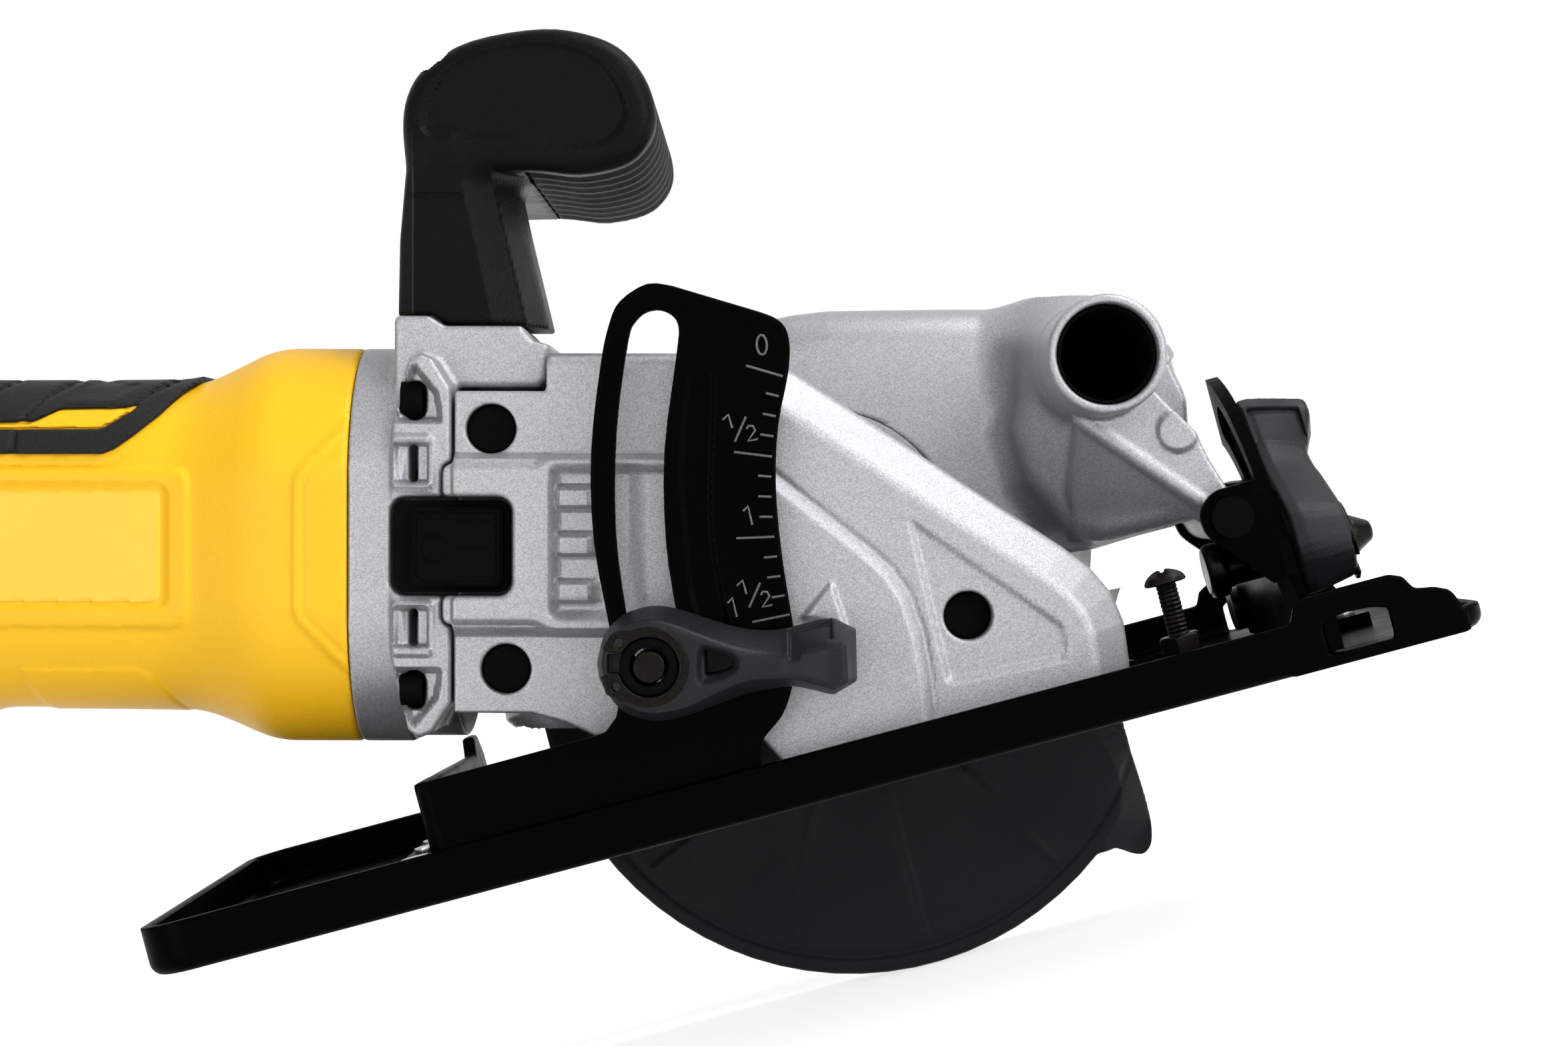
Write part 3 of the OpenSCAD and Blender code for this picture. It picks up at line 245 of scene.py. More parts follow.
def painted_steel(name, colour, bare_and_highlight, rough, amount):
    m, t, s = blank(name)
    s.inputs["Specular IOR Level"].default_value = 0.03
    worn_and_highlit = place(t, WORN_AND_HIGHLIGHT, Width_mm=0.35, Breakup_mm=2.2, Amount=amount)
    hand = place(t, HANDLING, Patch_mm=18.0, Scratches=0.5)
    grain = place(t, GRAIN, Size_mm=1.6, Roundness=0.2)
    # the edges turn to a pale uncoated-steel colour: partly real wear, partly a painted highlight along
    # every edge
    t.links.new(mix_colour(t, worn_and_highlit.outputs["Mask"], colour, bare_and_highlight), s.inputs["Base Color"])
    t.links.new(calc(t, "MULTIPLY", worn_and_highlit.outputs["Mask"], 0.9), s.inputs["Metallic"])
    r = gloss_wear(t, hand, rough, 0.1, 0.3)
    rubbed = calc(t, "MULTIPLY", worn_and_highlit.outputs["Mask"], 0.2)
    t.links.new(calc(t, "ADD", r, rubbed), s.inputs["Roughness"])
    bump(t, s, grain.outputs["Height"], 0.03)
    # a thin dull film keeps the flat faces black where they are seen at a low angle
    film = node(t, "BsdfDiffuse")
    film.inputs["Color"].default_value = (*colour, 1)
    layers = node(t, "MixShader")
    layers.inputs["Fac"].default_value = 0.5
    end = [n for n in t.nodes if n.type == "OUTPUT_MATERIAL"][0]
    t.links.new(s.outputs["BSDF"], layers.inputs[1])
    t.links.new(film.outputs["BSDF"], layers.inputs[2])
    t.links.new(layers.outputs["Shader"], end.inputs["Surface"])
    return m


def bare_metal(name, colour, rough, grain_mm=0.4):
    m, t, s = blank(name)
    grain = place(t, GRAIN, Size_mm=grain_mm, Roundness=0.1)
    hand = place(t, HANDLING, Patch_mm=8.0, Scratches=0.6)
    dark = tuple(c * 0.7 for c in colour)
    t.links.new(mix_colour(t, grain.outputs["Mask"], dark, colour), s.inputs["Base Color"])
    s.inputs["Metallic"].default_value = 1.0
    t.links.new(gloss_wear(t, hand, rough, 0.12, 0.2), s.inputs["Roughness"])
    bump(t, s, grain.outputs["Height"], 0.02)
    return m


LOOKS = {
    # steel_black: the pale second colour is uncoated steel at the edges and also a painted edge highlight
    "steel_black": (painted_steel, ((0.0005, 0.0005, 0.0006), (0.12, 0.115, 0.11), 0.24, 0.3), {}),
    "cast_silver": (cast_silver, ((0.35, 0.352, 0.372), 0.36), {}),
    "yellow_plastic": (plastic, ((0.975, 0.54, 0.014), (0.955, 0.52, 0.012), 0.42, 0.55, 0.05),
        {"scratches": 0.15, "patch": 0.06, "gloss": 0.25}),
    "rubber_black": (plastic, ((0.014, 0.014, 0.0145), (0.02, 0.02, 0.0205), 0.55, 0.5, 0.12),
        {"gloss": 0.1}),
    "plastic_black": (plastic, ((0.0028, 0.0028, 0.0033), (0.0045, 0.0045, 0.0052), 0.34, 0.5, 0.07),
        {"gloss": 0.05}),
    "guard_black": (plastic, ((0.0085, 0.0085, 0.0105), (0.011, 0.011, 0.0135), 0.46, 0.5, 0.05),
        {"scratches": 0.25, "gloss": 0.12}),
    "lever_black": (plastic, ((0.0085, 0.0085, 0.0105), (0.012, 0.012, 0.0145), 0.38, 0.45, 0.06),
        {"gloss": 0.14}),
    "label_yellow": (plastic, ((0.985, 0.6, 0.045), (0.975, 0.59, 0.04), 0.3, 0.8, 0.012),
        {"scratches": 0.1, "patch": 0.04, "gloss": 0.25}),
    # scale marks: black paint on the real part; their grey colour is a painted glint along the raised
    # strokes
    "mark_black": (plastic, ((0.05, 0.05, 0.052), (0.09, 0.09, 0.09), 0.25, 0.4, 0.02), {"gloss": 0.5}),
    "zinc_dark": (bare_metal, ((0.012, 0.0108, 0.0092), 0.26), {}),
    # near-black for real black parts (lever sleeves, spindle button) and as painted shade: plugs in the
    # case's bolt holes, the dust port's lining, the flange screws in their pockets, the base round the
    # spindle button
    "pit_black": (plastic, ((0.0012, 0.0012, 0.0013), (0.002, 0.002, 0.0021), 0.6, 0.6, 0.04),
        {"gloss": 0.03}),
    "steel_bright": (bare_metal, ((0.5, 0.5, 0.51), 0.25), {}),
    "steel_dark": (bare_metal, ((0.02, 0.02, 0.021), 0.3), {}),
    "copper": (bare_metal, ((0.6, 0.28, 0.12), 0.3), {}),
    "red_plastic": (plastic, ((0.55, 0.03, 0.02), (0.5, 0.025, 0.018), 0.35, 0.5, 0.04), {}),
    "board_green": (plastic, ((0.02, 0.15, 0.06), (0.02, 0.12, 0.05), 0.3, 1.2, 0.05), {}),
    "cell_blue": (plastic, ((0.04, 0.18, 0.4), (0.04, 0.17, 0.38), 0.2, 1.0, 0.02), {}),
}
MATERIALS = {name: make(name, *values, **extra) for name, (make, values, extra) in LOOKS.items()}

# ---------- CAD pieces: finish, painted shade on the flange screws, and soft edges ---
EDGES = {"steel_black": 0.35, "cast_silver": 0.5, "yellow_plastic": 0.5, "plastic_black": 0.5}
SLOT_OF = {p["node"]: p["material_slot"] for p in frame["record"]["subparts"]}


def soften(obj, width_mm, segments=2):
    weld = obj.modifiers.new("weld", "WELD")
    weld.merge_threshold = 0.000005
    edge = obj.modifiers.new("edges", "BEVEL")
    edge.width = width_mm * MM
    edge.segments = segments
    edge.limit_method = "ANGLE"
    edge.angle_limit = math.radians(28)
    edge.harden_normals = True
    edge.use_clamp_overlap = True


# the flange screws are made near-black as painted shade, for the shade deep in their pockets; the depth pin
# takes the same near-black and the bevel pins dark zinc
FINISH_AND_PAINTED_SHADE = {"flange_screws": "pit_black", "depth_pin": "pit_black", "bevel_pins": "zinc_dark"}

for name, obj in NODES.items():
    slot = SLOT_OF[name]
    obj.data.materials.clear()
    obj.data.materials.append(MATERIALS[FINISH_AND_PAINTED_SHADE.get(name, slot)])
    soften(obj, EDGES.get(slot, 0.2))


# ---------- sculpting by distances ----------
TILT = math.radians(15)
ARBOR = 18.1


def from_body(p):
    """Body axes in mm, as an array of points, to the row frame in metres."""
    x, y, z = p[:, 0], p[:, 1], p[:, 2]
    c, s = math.cos(TILT), math.sin(TILT)
    return np.stack((x * c + z * s, y, ARBOR - x * s + z * c), 1) * MM


def from_shoe(p):
    return p * MM


def clay(low, high, pitch):
    """Grid axes round a piece, each shaped so that they combine into a block."""
    axes = [np.arange(a - 2.5 * pitch, b + 3 * pitch, pitch, dtype=np.float32) for a, b in zip(low, high)]
    return axes[0][:, None, None], axes[1][None, :, None], axes[2][None, None, :]


def outline(u, v, points):
    """Distance to a closed outline drawn in two axes, negative inside."""
    nearest, inside = None, False
    for (ax, ay), (bx, by) in zip(points, points[1:] + points[:1]):
        ex, ey = bx - ax, by - ay
        wx, wy = u - ax, v - ay
        t = np.clip((wx * ex + wy * ey) / (ex * ex + ey * ey), 0, 1)
        q = (wx - ex * t) ** 2 + (wy - ey * t) ** 2
        nearest = q if nearest is None else np.minimum(nearest, q)
        if ay != by:
            inside = inside ^ (((ay > v) != (by > v)) & (u < ex * (v - ay) / ey + ax))
    return np.where(inside, -1, 1) * np.sqrt(nearest)


def stroke(u, v, points, half):
    """Distance to a pen line through the points."""
    nearest = None
    for (ax, ay), (bx, by) in zip(points, points[1:]):
        ex, ey = bx - ax, by - ay
        t = np.clip(((u - ax) * ex + (v - ay) * ey) / (ex * ex + ey * ey + 1e-9), 0, 1)
        q = (u - ax - ex * t) ** 2 + (v - ay - ey * t) ** 2
        nearest = q if nearest is None else np.minimum(nearest, q)
    return np.sqrt(nearest) - half


def curve(points, steps=5, closed=True):
    """Smooth line through the points."""
    n, out = len(points), []
    for i in range(n if closed else n - 1):
        p = [points[(i + k) % n] if closed else points[min(max(i + k, 0), n - 1)] for k in (-1, 0, 1, 2)]
        for k in range(steps):
            t = k / steps
            out.append(tuple(0.5 * (2 * b + (c - a) * t + (2 * a - 5 * b + 4 * c - d) * t * t
                                    + (3 * b - a - 3 * c + d) * t ** 3) for a, b, c, d in zip(*p)))
    return out if closed else out + [points[-1]]


def disc(u, v, cu, cv, r):
    return np.hypot(u - cu, v - cv) - r


def arc(r, start, stop, pitch):
    """Points on a circle round the arbor, from one angle to another in degrees."""
    angles = [math.radians(v) for v in range(start, stop, pitch)]
    return [(r * math.cos(a), r * math.sin(a)) for a in angles]


def slab(v, a, b):
    return np.abs(v - (a + b) / 2) - (b - a) / 2


def corner(a, b):
    return np.hypot(np.maximum(a, 0), np.maximum(b, 0)) + np.minimum(np.maximum(a, b), 0)


def rect(u, v, u0, u1, v0, v1, r):
    """Rectangle with round corners."""
    return corner(slab(u, u0 + r, u1 - r), slab(v, v0 + r, v1 - r)) - r


def meet(a, b, r=0.0):
    """Both, with the edge between them rounded."""
    if not r:
        return np.maximum(a, b)
    return np.minimum(-r, np.maximum(a, b)) + np.hypot(np.maximum(a + r, 0), np.maximum(b + r, 0))


def join(a, b, r=0.0):
    """Either, with a fillet between them."""
    if not r:
        return np.minimum(a, b)
    return np.maximum(r, np.minimum(a, b)) - np.hypot(np.maximum(r - a, 0), np.maximum(r - b, 0))


def cut(a, b, r=0.0):
    return meet(a, -b, r)


def skin(name, low, pitch, d, place, look, body, replaced=()):
    """Mesh of the surface where the distances change sign, with one point in each crossed cell."""
    inside = d < 0
    core = inside[:-1, :-1, :-1].astype(np.int8)
    nx, ny, nz = core.shape
    corners = [(i, j, k) for i in (0, 1) for j in (0, 1) for k in (0, 1)]
    count = sum(inside[i:i + nx, j:j + ny, k:k + nz].astype(np.int8) for i, j, k in corners)
    cells = np.argwhere((count > 0) & (count < 8))
    index = np.full(core.shape, -1, np.int32)
    index[tuple(cells.T)] = np.arange(len(cells))
    total, hits, slope = np.zeros((len(cells), 3)), np.zeros(len(cells)), np.zeros((len(cells), 3))
    units = np.eye(3, dtype=int)
    for axis, unit in enumerate(units):
        for a in (0, 1):
            for b in (0, 1):
                start = np.insert([a, b], axis, 0)
                p, q = d[tuple((cells + start).T)], d[tuple((cells + start + unit).T)]
                slope[:, axis] += q - p
                crossed = (p < 0) != (q < 0)
                t = np.where(crossed, p / np.where(crossed, p - q, 1), 0)
                total[crossed] += (start + t[:, None] * unit)[crossed]
                hits += crossed
    points = (cells + total / hits[:, None]) * pitch + np.array(low) - 2.5 * pitch
    slope = place(slope) - place(np.zeros((1, 3)))
    slope /= np.linalg.norm(slope, axis=1)[:, None] + 1e-12
    quads = []
    for axis in range(3):
        u, v = (axis + 1) % 3, (axis + 2) % 3
        a = inside[tuple(slice(1, -1) if k != axis else slice(0, -1) for k in range(3))]
        b = inside[tuple(slice(1, -1) if k != axis else slice(1, None) for k in range(3))]
        edges = np.argwhere(a != b)
        outward = a[tuple(edges.T)]
        base = edges + [1 if k != axis else 0 for k in range(3)]
        du, dv = units[u], units[v]
        ring = [index[tuple((base - s * du - t * dv).T)] for s, t in ((0, 0), (1, 0), (1, 1), (0, 1))]
        ring = np.stack(ring, 1)
        ring[~outward] = ring[~outward][:, ::-1]
        quads.append(ring)
    quads = np.concatenate(quads)
    mesh = bpy.data.meshes.new(name)
    mesh.vertices.add(len(points))
    mesh.vertices.foreach_set("co", place(points).astype(np.float32).ravel())
    mesh.loops.add(quads.size)
    mesh.loops.foreach_set("vertex_index", quads.astype(np.int32).ravel())
    mesh.polygons.add(len(quads))
    mesh.polygons.foreach_set("loop_start", np.arange(0, quads.size, 4, dtype=np.int32))
    mesh.polygons.foreach_set("use_smooth", np.ones(len(quads), bool))
    mesh.update(calc_edges=True)
    mesh.normals_split_custom_set_from_vertices(slope.astype(np.float32))
    mesh.materials.append(MATERIALS[look])
    piece = bpy.data.objects.new(name, mesh)
    bpy.context.scene.collection.objects.link(piece)
    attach(piece, body)
    if replaced:
        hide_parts(*replaced)
    return piece


def step(d, width):
    """1 inside an outline and 0 outside, with a soft slope of that width."""
    t = np.clip(0.5 - d / width, 0, 1)
    return t * t * (3 - 2 * t)


# ---------- gear case ----------
CASE_FACE = -38.0
HANDLE_BOLTS_Y = (-21, -3)
SCREW_MID_Z = 23.7
HOLE_A, HOLE_B, HOLE_C = (-65.3, 44.3), (-62.6, 1.9), (18.9, 11.5)
NOSE = [(36, 23.6), (41, 19.8), (44.8, 15.4), (47, 10.2), (48, 3)]


def case_levels(x, z):
    """Height of the cast face, with its lands, fins, grooves and panels."""
    level = CASE_FACE + 0 * (x + z)
    for land in ([(-90, 39.4), (-27, 39.4), (-24, 42), (-20, 70), (-90, 70)], [(-90, -30), (-40, -30),
        (-36, 0), (-40, 6.5), (-44, 8.4), (-90, 8.4)]):
        level = level + 2.6 * step(outline(x, z, land), 1.6)
    block = [(-90, 10.2), (-57.4, 10.2), (-53.6, 8.4), (-30, 8.0), (-30, 39.6), (-54.2, 39.6),
        (-57.2, 37.8), (-90, 37.8)]
    level = level - 1.5 * step(outline(x, z, block), 1.8)
    valley = rect(x, z, -54.0, -24, 11.4, 37.2, 1.2)
    level = level + 2.2 * step(valley, 2.8) - 0.7 * np.clip((x + 40.6) / 3.0, 0, 1) * step(valley, 2.8)
    for foot in (13.9, 22.1, 30.3):
        level = level - 2.4 * step(rect(x, z, -53.4, -46.0, foot, foot + 3.7, 0.5),
            1.0) * np.clip((-46.0 - x) / 1.5, 0.3, 1)
    ridge = [(-24, 41.6), (-14.9, 34.6), (-7, 28.4), (0.4, 22.6), (4.2, 19.2), (7.4, 14.6), (9.7, 8),
        (11.2, 0), (12.2, -9)]
    level = level - 1.2 * step(outline(x, z, ridge + [(12.4, -30), (-24, -30)]), 2.4)
    level = level + 0.7 * step(stroke(x, z, [(a + 1.3, b + 0.7) for a, b in ridge], 0.3), 1.5)
    level = level + 0.85 * step(outline(x, z, [(8.6, 28.2), (15.4, 0.2), (16.4, 0.1), (35.4, 4.0),
        (36.1, 5.0), (35.6, 9.0), (34.6, 10.2)]), 1.5)
    return level - 0.8 * step(outline(x, z, [(-5.2, 17.4), (-10.2, 11.2), (-2.7, 9.7)]), 1.2)


def gear_case():
    low, high, pitch = (-74.5, -42, -18), (49, 26, 59), 0.55
    x, y, z = clay(low, high, pitch)
    edge = [(-71.8, -5.9), (-58, -6.0), (-52, -7.6), (-46, -10.4), (-19, -8.5), (-14, -14), (-6, -17),
        (48, -14)] + NOSE[::-1] + [(-17, 57.8), (-55.6, 57.8), (-55.6, 51.0), (-71.8, 51.0)]
    d = meet(outline(x, z, edge), slab(y, -44, 26), 0.8)
    tab = meet(rect(x, z, -73.6, -60, 9.8, 38.0, 1.5), slab(y, CASE_FACE, -33), 0.6)
    d = join(d, tab)
    d = meet(d, (case_levels(x, z) - y) * 0.9, 0.5)
    # bright bevel along the top, the slope and the nose
    bevel = outline(x, z, [(-200, 60.0), (-20.7, 60.0)] + NOSE + [(49, -60), (-200, -60)])
    d = meet(d, (bevel + CASE_FACE - y + 6.4) * 0.7071, 0.8)
    d = cut(d, meet(rect(x, z, -90, -61.2, 14.8, 32.3, 2.6), y + 30.2), 0.9)
    for (cx, cz), r in ((HOLE_A, 4.4), (HOLE_B, 4.4), (HOLE_C, 4.3)):
        d = cut(d, meet(disc(x, z, cx, cz, r), y + 23, 0.3), 0.45)
        # black plugs a little inside the three bolt holes, in place of the case screws, are painted shade:
        # the shade deep in the holes
        hole_shade_plug = meet(disc(x, z, cx, cz, r - 0.08), slab(y, CASE_FACE + 4.2 + 0.35 * (x - cx) / r, -24))
        hole_shade_plugs = hole_shade_plug if cx == HOLE_A[0] else join(hole_shade_plugs, hole_shade_plug)
    d = meet(d, 6.2 - (ARBOR - x * math.sin(TILT) + z * math.cos(TILT)))
    skin("gear_case_casting", low, pitch, d, from_body, "cast_silver", "saw", ["gear_case"])
    skin("bolt_holes_painted_shade", low, pitch, hole_shade_plugs, from_body, "pit_black", "saw", ["case_screws"])


def spindle_button():
    low, high, pitch = (-83, -39, 15), (-61.5, -33, 32), 0.3
    x, y, z = clay(low, high, pitch)
    face = -37.3 + 0 * (x + z)
    face = face - 0.45 * step(np.abs(rect(x, z, -78.9, -63.4, 16.6, 30.2, 1.2) + 0.4) - 0.3, 0.5)
    face = face - 0.3 * step(np.abs(disc(x, z, -74.7, 23.3, 2.3)) - 0.2, 0.4)
    for line in (27.9, 23.3, 18.6):
        face = face - 0.25 * step(stroke(x, z, [(-72.0, line), (-64.2, line)], 0.15), 0.4)
    d = meet(rect(x, z, -79.3, -62.9, 16.2, 30.6, 1.6), (face - y) * 0.9, 0.5)
    # the black base plate fills the pit round the button: painted shade of the deep pit
    base = meet(rect(x, z, -82.4, -61.8, 15.4, 31.7, 2.2), -35.4 - y, 0.3)
    d = meet(join(d, base, 0.4), y + 33.6)
    skin("spindle_button", low, pitch, d, from_body, "pit_black", "spindle_lock", ["spindle_lock"])


# ---------- motor flange ----------
def flange_levels(x, z):
    level = -36.0 + 0 * (x + z)
    for s in (1, -1):
        def up(v):
            return SCREW_MID_Z + s * (v - SCREW_MID_Z)
        def tall(u0, u1, v0, v1, r):
            return rect(x, z, u0, u1, min(up(v0), up(v1)), max(up(v0), up(v1)), r)
        level = level - 0.9 * step(tall(-82.9, -75.6, 33.6, 43.2, 0.8), 0.9)
        level = level + 3.0 * step(outline(x, z, [(a, up(b)) for a, b in [(-82, 45.8), (-81.6, 50),
            (-78.9, 55.4), (-74.9, 50.5), (-74.3, 45.8)]]), 1.3)
        level = level + 2.8 * step(tall(-82.2, -76.2, 34.8, 41.6, 0.5), 0.9)
        level = level + 9.0 * step(tall(-81.0, -77.4, 46.2, 52.6, 1.7), 0.6)
    return level


def motor_flange():
    low, high, pitch = (-91.2, -37.5, -12.9), (-55, 35.5, 66), 0.55
    x, y, z = clay(low, high, pitch)
    ring = housing_surface(-91 + 0 * x, y, z)
    d = meet(ring, slab(x, -90.7, -81), 0.3)
    d = join(d, meet(meet(disc(y, z, 0, 24, 36.2), np.abs(y) - 33.4 + 0 * z, 3.0), slab(x, -90.7, -72.3),
        0.7))
    pad = outline(x, z, [(-82.8, 44), (-82.4, 47), (-79.8, 56.2), (-78, 57.6), (-75.5, 56.6), (-72.3, 51.4),
        (-72.3, -4.2), (-75.5, -9.4), (-78, -10.4), (-79.8, -9), (-82.4, 1), (-82.8, 3.6)])
    pad = meet(pad, meet(slab(y, -40, 0), (flange_levels(x, z) - y) * 0.9, 0.4), 0.9)
    d = join(d, pad, 1.2)
    # pedestal of the front handle, carried forward over the gear case
    arm = outline(x, z, [(-83.2, 48), (-83.2, 64.0), (-82.6, 64.7), (-77.0, 64.7), (-74.2, 62.9),
        (-60.6, 62.9), (-58.6, 60.4), (-55.2, 59.4), (-55.9, 53.4), (-57.4, 51.9), (-72.3, 51.9),
        (-72.3, 48)])
    lean = meet(-29.5 - y, (x + 62.0 - y - 29.5 - 6) * 0.72)
    arm = meet(meet(arm, lean, 1.0), y - 8, 1.0)
    d = join(d, arm, 1.5)
    for s in (1, -1):
        d = cut(d, meet(rect(x, z, -80.7, -77.0, SCREW_MID_Z + s * 25.7 - 3.4, SCREW_MID_Z + s * 25.7 + 3.4,
            1.7), slab(y, -50, -24)))
        d = cut(d, meet(rect(x, z, -79.9, -78.3, SCREW_MID_Z + s * 14.5 - 3.4, SCREW_MID_Z + s * 14.5 + 3.4,
            0.3), slab(y, -50, -24)))
    d = cut(d, meet(rect(x, z, -83.1, -50, 14.8, 32.3, 2.6), y + 28), 0.9)
    d = cut(d, meet(meet(rect(x, z, -74.0, -60, 9.4, 38.4, 1.7), y + 32.6), -73.99 - x))
    for yy in HANDLE_BOLTS_Y:
        d = cut(d, meet(disc(x, y, -72, yy, 2.6), 55 - z))
    d = cut(d, meet(disc(y, z, 0, 24, 27), slab(x, -95, -50)))
    skin("motor_flange_casting", low, pitch, d, from_body, "cast_silver", "saw", ["motor_flange"])


# ---------- upper guard ----------
PORT = (45.2, 58.6)
PIVOT = (69.9, 29.0)


def upper_guard():
    low, high, pitch = (-72, -20.5, -12), (76, 56, 71.5), 0.7
    x, y, z = clay(low, high, pitch)
    crown = arc(70.8, 190, 88, -6)
    path = crown + [(20, 71), (36, 71), (50, 69.6), (58, 66.4), (63.6, 61.4), (66.4, 55), (67.2, 42),
        (69.6, 33.2), (68.2, 28.6), (57, 26.2), (48.9, 23.6), (41, 21), (30, 4), (20, -6), (-60, -20)]
    inner = arc(67.6, 196, 88, -6)
    hollow = inner + [(36, 67.8), (49, 66.4), (56, 63.6), (61, 58.6), (63.4, 54), (64, 42), (60, 30),
        (48, 26), (50, -40), (-70, -40)]
    shape = outline(x, z, path)
    # the wall bulges outward, most of all round its middle
    bulge = 4.6 * np.clip(1 - ((x - 16) / 54) ** 2 - ((z - 33) / 39) ** 2, 0, 1)
    d = meet(meet(shape, (35.5 - bulge - y) * 0.9, 7.0), y - 56, 2.0)
    d = cut(d, meet(outline(x, z, hollow), slab(y, 38.6, 53.5), 0.5))
    d = cut(d, meet(join(disc(x, z, 0, 0, 38), outline(x, z, [(-80, -9), (-25, -1), (25, 6), (47, 26),
        (58, 20), (60, -40), (-80, -40)])), 53 - y))
    # chute: a scoop from the wall up to the tube
    tube = meet(disc(x, z, *PORT, 11.0), slab(y, -20, 40), 1.2)
    flare = np.hypot(x - PORT[0], z - PORT[1]) - 11.0 - 5.5 * np.clip((y - 10) / 26, 0, 1) ** 2
    flare = meet(flare, slab(y, 6, 40))
    scoop = outline(x, z, [(41, 27), (48, 24.6), (57, 26.8), (64, 28.6), (68, 30), (66.6, 40), (66, 52),
        (60, 62), (44, 66), (34, 58), (31, 46), (34, 36)])
    scoop = meet(scoop, (6 + 0.62 * np.maximum(0, 56 - x - 0.25 * (z - 40)) - y) * 0.8, 3.0)
    scoop = meet(scoop, y - 37, 0.2)
    d = join(d, join(meet(scoop, -0.5 - y, 1.0), flare, 3.0), 6.0)
    d = join(d, tube, 1.5)
    web = outline(x, z, [(42.2, 47.4), (41, 34), (43.6, 24.2), (50, 24.6), (57, 26.6), (64, 28.6),
        (68.2, 26.2), (72, 31.4), (66.6, 40), (59, 55.6), (50, 52)])
    below = np.maximum(0, (42.2 - x) * 0.5625 + (47.4 - z) * 0.8268)
    web = meet(meet(web, (0.5 + 1.0 * below - y) * 0.75, 0.7), y - 32, 0.2)
    d = join(d, meet(web, x - 75), 1.0)
    bead = meet(np.hypot(stroke(x, z, [(42.2, 47.4), (65, 31.9)], 0), y - 1.5) - 1.4, 0.1 - y)
    d = join(d, bead, 0.8)
    boss = meet(disc(x, z, 60.6, 45.2, 3.8), slab(y, -0.6, 6), 0.5)
    d = join(d, boss, 0.6)
    d = join(d, meet(disc(x, z, *PIVOT, 4.3), slab(y, -2.5, 32.2), 0.4))
    d = cut(d, meet(disc(x, z, *PIVOT, 2.6), slab(y, -10, 40)))
    d = cut(d, meet(disc(x, z, *PIVOT, 8), slab(y, 32.2, 35.5)))
    d = cut(d, meet(disc(x, z, *PORT, 9.25), slab(y, -30, 47)), 0.6)
    d = cut(d, disc(x, z, 0, 0, 14.6))
    d = meet(d, 9 - (ARBOR - x * math.sin(TILT) + z * math.cos(TILT)))
    # room for the quadrant at the least depth
    c, s = math.cos(TILT), math.sin(TILT)
    u, w = x * c + z * s - 75, ARBOR - x * s + z * c - 28
    a = math.radians(30)
    front, rise = u * math.cos(a) + w * math.sin(a), w * math.cos(a) - u * math.sin(a)
    d = cut(d, meet(meet(7.2 - front, rise - 28), y - 35.5), 0.4)
    # clear of the gear case and cover
    case = meet(outline(x, z, [(-72, 59), (-16, 59), (39, 23.6), (46, 17), (50, 10), (50, -20),
        (-72, -20)]), y - 26.4)
    cover = meet(join(disc(x, z, 0, 0, 17.6), join(disc(x, z, -6, 24, 26.3), outline(x, z,
        [(-66, -4), (-30, -7), (-14, -1), (17, 2), (35, 18), (-6, 51), (-20, 55), (-66, 55)]))), y - 35.4)
    d = cut(d, join(case, cover))
    # a black lining inside the dust port is painted shade: the shade deep in the tube
    painted_port_shade = meet(disc(x, z, *PORT, 9.22), 8.3 - np.hypot(x - PORT[0], z - PORT[1]))
    painted_port_shade = join(meet(painted_port_shade, slab(y, -17.6, 40)), meet(disc(x, z, *PORT, 9.22), slab(y, 34, 38)))
    skin("port_lining_painted_shade", low, pitch, painted_port_shade, from_body, "pit_black", "saw", ())
    skin("upper_guard_casting", low, pitch, d, from_body, "cast_silver", "saw", ["upper_guard",
        "guard_wall", "guard_cover", "dust_chute"])


# ---------- front handle ----------
BEAN = curve([(-82.6, 98.5), (-81.8, 105), (-78.3, 110.3), (-70.2, 114.9), (-57.4, 117.1), (-48.2, 115.8),
    (-42.3, 112.7), (-38.2, 107), (-36.8, 100.4), (-38.6, 95.6), (-42.7, 92.3), (-50.7, 90.6),
    (-59.2, 91.4), (-70, 91.2), (-77.6, 90.4), (-81.2, 93.4)], 4)
BEAN_PANEL = curve([(-78.7, 100.5), (-76.2, 106.8), (-72.3, 110.6), (-65.1, 113.2), (-58.3, 113.9),
    (-51.1, 112.8), (-45.9, 109.6), (-42.9, 104.2), (-42.5, 100.1), (-45.4, 96.6), (-50.3, 95.3),
    (-56.3, 96.1), (-61.9, 97.1), (-68.3, 97.3), (-75.8, 96.9), (-78.2, 97.9)], 4)
RIB_PITCH, RIB_Y0, RIB_Y1 = 9.3, -17.5, 66.0


